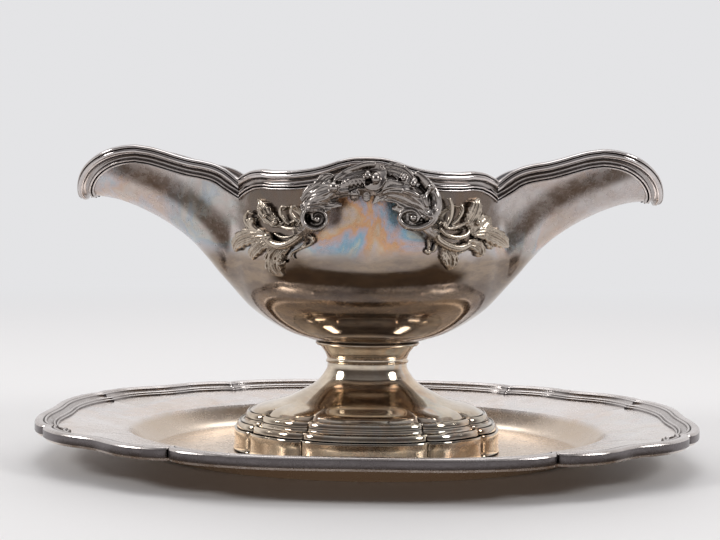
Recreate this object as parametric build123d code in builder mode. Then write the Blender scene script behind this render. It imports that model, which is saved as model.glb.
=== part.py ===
"""Double-lipped gravy boat on a raised foot, standing loose in the well of its lobed plate.

Frame: millimetres, +Z up, +X along the boat towards its right lip, -Y towards its front handle.
The origin is on the table under the middle of the plate.
"""
from build123d import *
import os
from math import cos, hypot, radians

# ---------------------------------------------------------------- plate
plate_length = 250.0        # over the end lobes
plate_width = 190.0         # over the side lobes
plate_sheet = 1.4           # thickness of the dished sheet
floor_length = 170.6        # flat floor of the well
floor_width = 121.0
well_length = 186.6         # crease where the well meets the border
well_width = 131.2
border_height = 9.2         # top of the sheet at the well's crease
flange_height = 12.3        # top of the sheet under the rim mount
plate_rim_overhang = 0.7    # the mount stands this far past the sheet's edge
plate_rim_steps = ((0.0, 3.5, 3.0), (3.5, 6.2, 2.4), (6.2, 8.2, 1.5), (8.2, 10.0, 1.9))

# ---------------------------------------------------------------- boat
standing_gap = 0.2          # air between the foot and the floor of the well
boat_length = 228.6         # over both lips
sheet = 1.2                 # wall of the bowl, spool and pedestal
mount_thickness = 2.0       # rim mount proud of the bowl's wall
foot_length = 104.0
foot_width = 82.0
band_height = 8.2           # upright band that the boat stands on
band_wall = 1.6
step_height = 3.2           # each of the two mouldings above the band
step_inset = (1.8, 5.6)     # how far each moulding stands in from the band
pedestal_inset = 9.3        # how far the pedestal's edge stands in from the band
seam_height = 34.0          # waist, where the spool is joined to the pedestal
waist_radius = 15.5
spool_top = 40.2
collar_radius = waist_radius + 4.9
collar_top = 42.3           # the bowl's flat bottom sits here
belly_length = 112.0        # of the bowl's middle
belly_width = 93.0
lip_half_width = 26.0       # of the pouring channel
notch_place = 47.5          # where a lip's mount meets the middle mount
rim_centre = 112.0          # heights of the rim above the foot
rim_shoulder = 107.1
rim_notch = 104.4
rim_peak = 116.4
rim_peak_place = 87.0
lip_height = 98.0           # where the lip's edge turns under
rim_mount_height = 7.2      # of the moulding along the rim
leaf_thickness = 2.4        # cast leaf proud of the bowl's wall
grip_radius = 3.8
grip_reach = 67.0           # front of the grip from the boat's middle
grip_top = 103.6            # crown of the grip above the foot
volute_radius = 5.6
volute_length = 7.0

oval = foot_width / foot_length             # the foot, waist and collar share one oval
floor_top = plate_sheet
base = floor_top + standing_gap             # level of the boat's own zero
band_top = base + band_height
step_tops = (band_top + step_height, band_top + 2 * step_height)
pedestal_edge = foot_length / 2 - pedestal_inset
tall = rim_peak + 8.0                       # above every edge of the bowl


# ---------------------------------------------------------------- lobed outlines
def swell(t, crown, dip):
    """Height of a lobe over its chord at t from 0 to 1: two shoulders and a shallow middle."""
    middle = 4 * t * (1 - t)
    return crown * middle ** 0.55 - dip * middle ** 8


def depth(crown, dip):
    """Greatest height of a lobe over its chord."""
    return max(swell(i / 40, crown, dip) for i in range(41))


class Contour:
    """An oval of eight lobes that meet at notches, as on the plate's edge and the foot."""

    def __init__(self, length, width, end_lobe, diagonal_lobe, side_lobe, along, across):
        self.lobes = [end_lobe, diagonal_lobe, side_lobe, diagonal_lobe] * 2
        end_x = length / 2 - depth(*end_lobe)
        side_y = width / 2 - depth(*side_lobe)
        side_x, end_y = along * length, across * width
        self.notches = [(end_x, -end_y), (end_x, end_y), (side_x, side_y), (-side_x, side_y),
                        (-end_x, end_y), (-end_x, -end_y), (-side_x, -side_y), (side_x, -side_y)]
        self.aspect = (width / length) ** 2

    def notch(self, index, inset):
        """Notch moved inwards along its mitre."""
        x, y = self.notches[index % 8]
        nx, ny = x * self.aspect, y
        reach = inset / hypot(nx, ny)
        return (x - nx * reach, y - ny * reach)

    def lobe(self, index, inset, count=9):
        """Points along one lobe, from its notch to the next."""
        start, end = self.notch(index, inset), self.notch(index + 1, inset)
        crown, dip = self.lobes[index]
        run = (end[0] - start[0], end[1] - start[1])
        chord = hypot(*run)
        points = []
        for i in range(count):
            t = 0.5 - 0.5 * cos(radians(180 * i / (count - 1)))
            rise = swell(t, crown, dip) / chord
            points.append((start[0] + run[0] * t + run[1] * rise, start[1] + run[1] * t - run[0] * rise))
        return points


def contour_face(contour, inset, height):
    """The contour's outline moved inwards by inset, filled, at a height."""
    with BuildSketch(Plane.XY.offset(height)) as face:
        with BuildLine():
            for index in range(8):
                Spline(*contour.lobe(index, inset))
        make_face()
    return face.sketch


plate_contour = Contour(plate_length, plate_width, (10.7, 2.0), (8.6, 3.1), (15.7, 1.9), 0.257, 0.2207)
foot_contour = Contour(foot_length, foot_width, (8.6, 0.4), (3.8, 0.5), (6.2, 0.4), 0.224, 0.244)

os.makedirs("parts", exist_ok=True)


# ---------------------------------------------------------------- plate
def oval_face(height, length, width):
    """A filled ellipse of the given length and width at a height."""
    with BuildSketch(Plane.XY.offset(height)) as face:
        Ellipse(length / 2, width / 2)
    return face.sketch


edge_length = plate_length + 12             # the border's cone runs past the lobes before it is cut
edge_width = plate_width + 12
flange_under = flange_height - plate_sheet

with BuildPart() as dish_space:
    loft([oval_face(floor_top, floor_length, floor_width), oval_face(border_height, well_length, well_width),
          oval_face(flange_height, edge_length, edge_width)], ruled=True)

with BuildPart() as plate_dish:
    loft([oval_face(0, floor_length, floor_width),
          oval_face(border_height - plate_sheet, well_length + 2 * plate_sheet, well_width + 2 * plate_sheet),
          oval_face(flange_under, edge_length, edge_width), oval_face(flange_height, edge_length, edge_width)],
         ruled=True)
    add(dish_space.part, mode=Mode.SUBTRACT)
    extrude(contour_face(plate_contour, plate_rim_overhang, 0), amount=flange_height, mode=Mode.INTERSECT)
    flange = contour_face(plate_contour, plate_rim_overhang, flange_under)
    extrude(flange - contour_face(plate_contour, plate_rim_steps[-1][1], flange_under), amount=plate_sheet)
plate_dish.part.label = "plate_dish"
export_step(plate_dish.part, "parts/plate_dish.step")

# The rim mount is eight mitred lengths of moulding, one to a lobe, soldered end to end.
plate_rim_names = ("right_end", "back_right", "back", "back_left",
                   "left_end", "front_left", "front", "front_right")
for index, place in enumerate(plate_rim_names):
    with BuildPart() as plate_rim:
        for outer, inner, rise in plate_rim_steps:
            with BuildSketch(Plane.XY.offset(flange_height)):
                with BuildLine():
                    outside = Spline(*plate_contour.lobe(index, outer))
                    inside = Spline(*plate_contour.lobe(index, inner))
                    Line(outside @ 0, inside @ 0)
                    Line(outside @ 1, inside @ 1)
                make_face()
            extrude(amount=rise)
    plate_rim.part.label = f"plate_rim_{place}"
    export_step(plate_rim.part, f"parts/plate_rim_{place}.step")


# ---------------------------------------------------------------- foot
with BuildPart() as foot_band:
    extrude(contour_face(foot_contour, 0, base), amount=band_height)
    extrude(contour_face(foot_contour, band_wall, base), amount=band_height - sheet, mode=Mode.SUBTRACT)
    extrude(contour_face(foot_contour, step_inset[1], base), amount=band_height, mode=Mode.SUBTRACT)
foot_band.part.label = "foot_band"
export_step(foot_band.part, "parts/foot_band.step")

with BuildPart() as foot_moulding:
    for inset, top in zip(step_inset, step_tops):
        extrude(contour_face(foot_contour, inset, band_top), amount=top - band_top)
    hollow = contour_face(foot_contour, pedestal_inset + 3.0, band_top)
    extrude(hollow, amount=2 * step_height, mode=Mode.SUBTRACT)
foot_moulding.part.label = "foot_moulding"
export_step(foot_moulding.part, "parts/foot_moulding.step")

pedestal_foot = step_tops[-1]
seam = base + seam_height
# The flare's steps from its edge (1) in to the waist (0), and up from its foot (0) to the seam (1).
flare_steps = ((1.0, 0.0), (0.61, 0.22), (0.39, 0.37), (0.195, 0.53), (0.066, 0.72), (0.0, 1.0))
flare = [(waist_radius + (pedestal_edge - waist_radius) * out, pedestal_foot + (seam - pedestal_foot) * up)
         for out, up in flare_steps]

with BuildPart() as pedestal:
    with BuildSketch(Plane.XZ):
        with BuildLine():
            outside = Spline(*flare)
            inside = Spline(*[(radius - sheet, height) for radius, height in flare])
            Line(outside @ 0, inside @ 0)
            Line(outside @ 1, inside @ 1)
        make_face()
    revolve(axis=Axis.Z)
    scale(by=(1, oval, 1))
pedestal.part.label = "pedestal"
export_step(pedestal.part, "parts/pedestal.step")

spool_curve = [(waist_radius, seam), (waist_radius + 0.8, seam + 2.4), (waist_radius + 2.9, base + spool_top)]

with BuildPart() as neck_spool:
    with BuildSketch(Plane.XZ):
        with BuildLine():
            outside = Spline(*spool_curve)
            inside = Spline(*[(radius - sheet, height) for radius, height in spool_curve])
            Line(outside @ 0, inside @ 0)
            Line(outside @ 1, inside @ 1)
        make_face()
    revolve(axis=Axis.Z)
    scale(by=(1, oval, 1))
neck_spool.part.label = "neck_spool"
export_step(neck_spool.part, "parts/neck_spool.step")

with BuildPart() as neck_collar:
    with BuildSketch(Plane.XZ):
        with BuildLine():
            Polyline((waist_radius, base + spool_top), (collar_radius - 1.6, base + spool_top),
                     (collar_radius, base + spool_top + 0.9), (collar_radius, base + collar_top),
                     (waist_radius, base + collar_top), close=True)
        make_face()
    revolve(axis=Axis.Z)
    scale(by=(1, oval, 1))
neck_collar.part.label = "neck_collar"
export_step(neck_collar.part, "parts/neck_collar.step")


# ---------------------------------------------------------------- bowl
# The belly is a stack of ovals: height above the foot, and how far it is from the collar's
# oval (0) to the full belly (1).
belly_stations = ((collar_top, 0.0), (45.0, 0.26), (50.0, 0.50), (57.0, 0.72), (66.0, 0.88),
                  (80.0, 0.98), (96.0, 1.0), (tall, 0.99))
# The pouring channels: distance from the middle as a share of the half length, share of the
# half width, and height of the keel.
channel_stations = ((0.20, 0.90, 52.0), (0.36, 0.97, 53.5), (0.46, 1.0, 60.5), (0.55, 1.0, 72.0),
                    (0.645, 0.98, 82.6), (0.77, 0.94, 91.0), (0.88, 0.82, 95.6), (0.95, 0.62, 96.8),
                    (0.985, 0.36, 97.4), (1.0, 0.14, 98.2))


def belly_form(grow):
    """Solid of the bowl's middle, with its wall moved outwards by grow."""
    sections = []
    for height, share in belly_stations:
        half_x = collar_radius + (belly_length / 2 - collar_radius) * share + grow
        half_y = collar_radius * oval + (belly_width / 2 - collar_radius * oval) * share + grow
        lowest = grow if height == collar_top else 0
        sections.append(oval_face(base + height - lowest, 2 * half_x, 2 * half_y))
    with BuildPart() as form:
        loft(sections)
    return form.part


def channel_form(grow):
    """Solid of the right pouring channel, from inside the belly to its tip."""
    reach = boat_length / 2 - mount_thickness + grow
    with BuildPart() as form:
        for place, share, keel in channel_stations:
            half = lip_half_width * share + grow
            drop = tall - keel + grow
            with BuildSketch(Plane.YZ.offset(reach * place)):
                with BuildLine():
                    EllipticalCenterArc((0, base + tall), half, drop, start_angle=180, arc_size=180)
                    Line((-half, base + tall), (half, base + tall))
                make_face()
        loft()
    return form.part


def bowl_form(grow):
    """The belly and both channels in one solid."""
    with BuildPart() as form:
        add(belly_form(grow))
        add(channel_form(grow))
        add(channel_form(grow).mirror(Plane.YZ))
    return form.part


outer_form = bowl_form(0)
mount_form = bowl_form(mount_thickness)
leaf_form = bowl_form(leaf_thickness)
channel_space = channel_form(-sheet)


def rim_side(drop):
    """Rim's line from the middle to the right lip, lowered by drop, as (x, height) points."""
    return [(0, rim_centre - drop), (11, rim_centre - 1.6 - drop), (25, rim_shoulder - drop),
            (38, rim_shoulder + 0.2 - drop), (notch_place, rim_notch - drop)]


def rim_lip(drop):
    """Lip's line from the notch up to its peak, lowered by drop."""
    rise = rim_peak - rim_notch
    return [(notch_place, rim_notch - drop), (notch_place + 7, rim_notch + 0.42 * rise - drop),
            (notch_place + 20, rim_notch + 0.60 * rise - drop), (rim_peak_place, rim_peak - drop)]


def below_rim(drop):
    """Slab through the whole boat whose top follows the rim's line lowered by drop."""
    tip = boat_length / 2 - drop
    with BuildPart() as slab:
        with BuildSketch(Plane.XZ):
            with BuildLine():
                Spline(*[(x, base + z) for x, z in rim_side(drop)])
                Spline(*[(x, base + z) for x, z in rim_lip(drop)], tangents=((1, 1), (1, 0)))
                EllipticalCenterArc((rim_peak_place, base + lip_height), tip - rim_peak_place,
                                    rim_peak - drop - lip_height, start_angle=0, arc_size=90)
                Polyline((tip, base + lip_height), (tip, 0), (0, 0), (0, base + rim_centre - drop))
            make_face()
            mirror(about=Plane.YZ)
        extrude(amount=belly_width, both=True)
    return slab.part


rim_slab = below_rim(0)
mount_slab = below_rim(rim_mount_height)

with BuildPart() as bowl_shell:
    add(outer_form)
    add(belly_form(-sheet), mode=Mode.SUBTRACT)
    add(channel_space, mode=Mode.SUBTRACT)
    add(channel_space.mirror(Plane.YZ), mode=Mode.SUBTRACT)
    add(rim_slab, mode=Mode.INTERSECT)
bowl_shell.part.label = "bowl_shell"
export_step(bowl_shell.part, "parts/bowl_shell.step")

# The rim mount is four lengths of threaded moulding that meet at the notches.
far = boat_length
rim_mounts = {"rim_lip_left": (-far, -notch_place, -far, far),
              "rim_lip_right": (notch_place, far, -far, far),
              "rim_front": (-notch_place, notch_place, -far, 0),
              "rim_back": (-notch_place, notch_place, 0, far)}
for name, (low_x, high_x, low_y, high_y) in rim_mounts.items():
    with BuildPart() as rim_mount:
        add(mount_form)
        add(outer_form, mode=Mode.SUBTRACT)
        add(rim_slab, mode=Mode.INTERSECT)
        add(mount_slab, mode=Mode.SUBTRACT)
        with BuildSketch():
            with Locations(((low_x + high_x) / 2, (low_y + high_y) / 2)):
                Rectangle(high_x - low_x, high_y - low_y)
        extrude(amount=2 * tall, mode=Mode.INTERSECT)
    rim_mount.part.label = name
    export_step(rim_mount.part, f"parts/{name}.step")


# ---------------------------------------------------------------- leaves and handles
# Outline of a cast leaf in the front view, for the right-hand side: (x, height above the foot).
leaf_outline = ((19, 80), (24, 70), (33, 68), (41, 76), (52, 80), (48, 88), (40, 96), (33, 97), (22, 90))

for side, turn in (("front", -1), ("back", 1)):
    for hand, lean in (("left", -1), ("right", 1)):
        with BuildPart() as leaf:
            with BuildSketch(Plane.XZ):
                with BuildLine():
                    Spline(*[(lean * x, base + z) for x, z in leaf_outline], periodic=True)
                make_face()
            extrude(amount=-turn * belly_width)
            add(leaf_form, mode=Mode.INTERSECT)
            add(outer_form, mode=Mode.SUBTRACT)
        leaf.part.label = f"leaf_{side}_{hand}"
        export_step(leaf.part, f"parts/leaf_{side}_{hand}.step")

grip_root = (23.0, 34.0, 84.0)              # of the arch's ends, inside the leaves
volute_place = (18.0, 56.0, 88.4)
for side, turn in (("front", -1), ("back", 1)):
    root_x, root_y, root_z = grip_root
    with BuildPart() as handle:
        with BuildLine() as arch:
            ThreePointArc((-root_x, turn * root_y, base + root_z),
                          (0, turn * (grip_reach - grip_radius), base + grip_top),
                          (root_x, turn * root_y, base + root_z))
        with BuildSketch(Plane(origin=arch.line @ 0, z_dir=arch.line % 0)):
            Circle(grip_radius)
        sweep()
        for lean in (-1, 1):
            x, y, z = volute_place
            with BuildSketch(Plane((lean * x, turn * (y + volute_length / 2), base + z), z_dir=(0, turn, 0))):
                Circle(volute_radius)
            extrude(amount=-volute_length)
        add(leaf_form, mode=Mode.SUBTRACT)
    handle.part.label = f"handle_{side}"
    export_step(handle.part, f"parts/handle_{side}.step")
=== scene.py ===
"""Silver gravy boat on its lobed plate: the visual pieces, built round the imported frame.

Shapes are worked out in millimetres, in the frame's own axes, and every mesh is written in metres.
"""
import logging
import math
from dataclasses import dataclass, field
from enum import Enum
from typing import Callable, Optional, Sequence

import bmesh
import bpy
import numpy as np
from mathutils import Matrix, Vector


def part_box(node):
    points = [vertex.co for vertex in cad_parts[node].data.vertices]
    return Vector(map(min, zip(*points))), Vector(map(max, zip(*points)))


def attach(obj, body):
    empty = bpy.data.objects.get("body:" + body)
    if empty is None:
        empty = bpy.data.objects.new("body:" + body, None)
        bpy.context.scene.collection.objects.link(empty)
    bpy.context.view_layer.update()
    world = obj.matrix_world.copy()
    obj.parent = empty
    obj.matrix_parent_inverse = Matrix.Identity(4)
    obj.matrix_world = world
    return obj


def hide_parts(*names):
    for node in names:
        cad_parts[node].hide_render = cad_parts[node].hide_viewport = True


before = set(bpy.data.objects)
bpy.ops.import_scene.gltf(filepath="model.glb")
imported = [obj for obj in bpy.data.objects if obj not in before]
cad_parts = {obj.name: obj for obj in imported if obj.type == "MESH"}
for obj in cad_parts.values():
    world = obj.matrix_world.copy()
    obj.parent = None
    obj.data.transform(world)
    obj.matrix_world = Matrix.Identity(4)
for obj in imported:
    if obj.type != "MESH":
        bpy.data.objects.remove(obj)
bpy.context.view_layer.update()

MM = 0.001
MERGE = 0.01            # points nearer than this, in millimetres, become one
PLATE_BODY = "plate"
BOAT_BODY = "boat"
log = logging.getLogger("gravy_boat")

Array = np.ndarray
Line = Callable[[Array], Array]
Ground = Callable[[Array, Array], tuple[Array, Array]]
Pair = tuple[float, float]
Triple = tuple[float, float, float]
Face = tuple[int, ...]
Socket = bpy.types.NodeSocket


# ------------------------------------------------------------------ measures read from the frame
def node_box(node: str) -> tuple[Array, Array]:
    """Give a node's lowest and highest corners in millimetres.

    Args:
        node: name of the CAD node.

    Returns:
        The two corners.
    """
    low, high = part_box(node)
    return np.array(low) / MM, np.array(high) / MM


BOAT_BASE = float(node_box("foot_band")[0][2])
FLANGE_TOP = float(node_box("plate_rim_front")[0][2])
PLATE_EDGE = float(node_box("plate_rim_right_end")[1][0])
PLATE_SIDE = float(node_box("plate_rim_back")[1][1])
FOOT_LENGTH = float(node_box("foot_band")[1][0] * 2)
FOOT_WIDTH = float(node_box("foot_band")[1][1] * 2)


# ------------------------------------------------------------------ curves and meshes
def smooth_line(knots: Sequence[Pair]) -> Line:
    """Make a smooth line through knots that never swings past them.

    Args:
        knots: (place, value) pairs in rising order of place.

    Returns:
        A function of an array of places.
    """
    xs = np.array([k[0] for k in knots], float)
    ys = np.array([k[1] for k in knots], float)
    gaps = np.diff(xs)
    slopes = np.diff(ys) / gaps
    ends = np.zeros_like(ys)
    for i in range(1, len(xs) - 1):
        if slopes[i - 1] * slopes[i] > 0:
            before, after = 2 * gaps[i] + gaps[i - 1], gaps[i] + 2 * gaps[i - 1]
            ends[i] = (before + after) / (before / slopes[i - 1] + after / slopes[i])
    ends[0], ends[-1] = slopes[0], slopes[-1]

    def value(place: Array) -> Array:
        """Evaluate the line, level with its end knots outside them.

        Args:
            place: where.

        Returns:
            The values.
        """
        place = np.clip(place, xs[0], xs[-1])
        i = np.clip(np.searchsorted(xs, place, side="right") - 1, 0, len(gaps) - 1)
        t = (place - xs[i]) / gaps[i]
        return (ys[i] * (1 + 2 * t) * (1 - t) ** 2 + ends[i] * gaps[i] * t * (1 - t) ** 2
                + ys[i + 1] * t * t * (3 - 2 * t) + ends[i + 1] * gaps[i] * t * t * (t - 1))

    return value


def unit(vectors: Array) -> Array:
    """Scale vectors along the last axis to length one."""
    return vectors / np.maximum(np.linalg.norm(vectors, axis=-1, keepdims=True), 1e-12)


def ease(t: Array) -> Array:
    """Ease from 0 to 1 with level ends."""
    t = np.clip(t, 0.0, 1.0)
    return t * t * (3 - 2 * t)


def new_object(name: str, points: Array, faces: list[Face], sharp: float = 40.0) -> bpy.types.Object:
    """Write points and faces to a new mesh object.

    Args:
        name: the object's name.
        points: (n, 3) places in millimetres.
        faces: vertex numbers of each face.
        sharp: angle in degrees over which an edge is shaded sharp.

    Returns:
        The object, linked to the scene.
    """
    mesh = bpy.data.meshes.new(name)
    mesh.from_pydata((points * MM).tolist(), [], faces)
    mesh.validate()
    piece = bpy.data.objects.new(name, mesh)
    bpy.context.collection.objects.link(piece)
    tidy_mesh(piece, sharp)
    return piece


def tidy_mesh(piece: bpy.types.Object, sharp: float = 40.0) -> None:
    """Merge doubled points, turn the faces outwards and set smooth shading.

    Args:
        piece: the mesh object.
        sharp: angle in degrees over which an edge is shaded sharp.
    """
    work = bmesh.new()
    work.from_mesh(piece.data)
    bmesh.ops.remove_doubles(work, verts=work.verts, dist=MERGE * MM)
    bmesh.ops.recalc_face_normals(work, faces=work.faces)
    work.to_mesh(piece.data)
    work.free()
    piece.data.shade_smooth()
    piece.data.set_sharp_from_angle(angle=math.radians(sharp))


def grid_faces(rows: int, columns: int, wrap_rows: bool, wrap_columns: bool, start: int = 0) -> list[Face]:
    """Number the four-sided faces of a grid of points.

    Args:
        rows: number of rows.
        columns: points in a row.
        wrap_rows: join the last row to the first.
        wrap_columns: join each row's end to its start.
        start: number of the first point.

    Returns:
        The faces.
    """
    faces = []
    for r in range(rows if wrap_rows else rows - 1):
        for c in range(columns if wrap_columns else columns - 1):
            r2, c2 = (r + 1) % rows, (c + 1) % columns
            faces.append((start + r * columns + c, start + r * columns + c2,
                          start + r2 * columns + c2, start + r2 * columns + c))
    return faces


def bar_mesh(name: str, sections: Array, sharp: float = 40.0) -> bpy.types.Object:
    """Join closed sections into a solid bar with flat ends.

    Args:
        name: the object's name.
        sections: (n, m, 3) array of n sections of m points in millimetres.
        sharp: angle in degrees over which an edge is shaded sharp.

    Returns:
        The object.
    """
    count, around, _ = sections.shape
    faces = grid_faces(count, around, False, True)
    faces.append(tuple(range(around)))
    faces.append(tuple(range((count - 1) * around, count * around)))
    return new_object(name, sections.reshape(-1, 3), faces, sharp)


def ring_mesh(name: str, sections: Array, sharp: float = 40.0) -> bpy.types.Object:
    """Join closed sections into a closed ring.

    Args:
        name: the object's name.
        sections: (n, m, 3) array of n sections of m points in millimetres.
        sharp: angle in degrees over which an edge is shaded sharp.

    Returns:
        The object.
    """
    count, around, _ = sections.shape
    return new_object(name, sections.reshape(-1, 3), grid_faces(count, around, True, True), sharp)


def dress(piece: bpy.types.Object, finish: "SilverFinish", body: str, node: str) -> None:
    """Give a piece its finish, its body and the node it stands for.

    Args:
        piece: the mesh object.
        finish: what its surface is.
        body: the CAD body it moves with.
        node: the CAD node it replaces.
    """
    piece.data.materials.clear()
    piece.data.materials.append(finish.material())
    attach(piece, body)
    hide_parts(node)
    log.info("%s: %d faces, rides on %s", piece.name, len(piece.data.polygons), body)


# ------------------------------------------------------------------ moulding sections
@dataclass(frozen=True)
class Thread:
    """One member of a moulding's section.

    Attributes:
        across: width of the member.
        level: height where the member ends.
        swell: bulge of the member, over the line between its ends, or a hollow if negative.
    """

    across: float
    level: float
    swell: float = 0.0


def section_line(start: Pair, threads: Sequence[Thread], steps: int = 7) -> Array:
    """Draw a moulding's section from its members.

    Args:
        start: (distance across, height) of the first point.
        threads: the members in order.
        steps: points along each curved member.

    Returns:
        (n, 2) points of distance across and height.
    """
    points = [start]
    for thread in threads:
        across, height = points[-1]
        count = steps if thread.swell else 1
        for k in range(1, count + 1):
            t = 0.5 - 0.5 * math.cos(math.pi * k / count)
            bulge = thread.swell * math.sqrt(max(0.0, 1 - (2 * t - 1) ** 2))
            points.append((across + thread.across * t, height + (thread.level - height) * t + bulge))
    return np.array(points)


# ------------------------------------------------------------------ lobed outlines
@dataclass(frozen=True)
class Contour:
    """An oval of eight lobes that meet at notches.

    Attributes:
        length: over the end lobes.
        width: over the side lobes.
        ends: rise and dip of the two end lobes.
        corners: rise and dip of the four corner lobes.
        sides: rise and dip of the two side lobes.
        along: place of the side notches, as a share of the length.
        across: place of the end notches, as a share of the width.
        power: how full the lobes are; a small power is full.
    """

    length: float
    width: float
    ends: Pair
    corners: Pair
    sides: Pair
    along: float
    across: float
    power: float = 0.55

    def swell(self, t: Array, lobe: Pair) -> Array:
        """Height of a lobe over its chord at t from 0 to 1."""
        middle = np.clip(4 * t * (1 - t), 0, 1)
        return lobe[0] * middle ** self.power - lobe[1] * middle ** 8

    def notch(self, index: int, inset: float) -> Array:
        """Give a notch moved inwards along its mitre.

        Args:
            index: number of the notch, anticlockwise from the one before the right end.
            inset: how far it moves in.

        Returns:
            The notch's x and y.
        """
        t = np.linspace(0, 1, 81)
        end_x = self.length / 2 - float(self.swell(t, self.ends).max())
        side_y = self.width / 2 - float(self.swell(t, self.sides).max())
        side_x, end_y = self.along * self.length, self.across * self.width
        signs = [(end_x, -end_y), (end_x, end_y), (side_x, side_y), (-side_x, side_y),
                 (-end_x, end_y), (-end_x, -end_y), (-side_x, -side_y), (side_x, -side_y)]
        place = np.array(signs[index % 8])
        inward = unit(place * np.array([(self.width / self.length) ** 2, 1.0]))
        return place - inward * inset

    def lobe(self, index: int, inset: float, count: int = 49) -> Array:
        """Draw one lobe from its notch to the next.

        Args:
            index: number of the lobe; 0 is the right end.
            inset: how far the lobe stands in from the outline.
            count: number of points.

        Returns:
            (count, 2) points.
        """
        start, end = self.notch(index, inset), self.notch(index + 1, inset)
        lobe = (self.ends, self.corners, self.sides, self.corners)[index % 4]
        run = end - start
        out = np.array([run[1], -run[0]]) / np.hypot(*run)
        t = 0.5 - 0.5 * np.cos(np.pi * np.linspace(0, 1, count))
        return start + run * t[:, None] + out * self.swell(t, lobe)[:, None]

    def outline(self, inset: float, count: int = 41) -> Array:
        """Draw the whole outline, with no point twice."""
        return np.concatenate([self.lobe(i, inset, count)[:-1] for i in range(8)])


def oval(outline: Array, half_length: float, half_width: float) -> Array:
    """Spread an ellipse's points to face an outline's points.

    Args:
        outline: (n, 2) points.
        half_length: of the ellipse.
        half_width: of the ellipse.

    Returns:
        (n, 2) points of the ellipse.
    """
    reach = np.abs(outline).max(axis=0)
    angle = np.arctan2(outline[:, 1] / reach[1], outline[:, 0] / reach[0])
    return np.stack([half_length * np.cos(angle), half_width * np.sin(angle)], -1)


def at_height(outline: Array, height: float) -> Array:
    """Lift a flat outline to a height."""
    return np.column_stack([outline, np.full(len(outline), height)])


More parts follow.
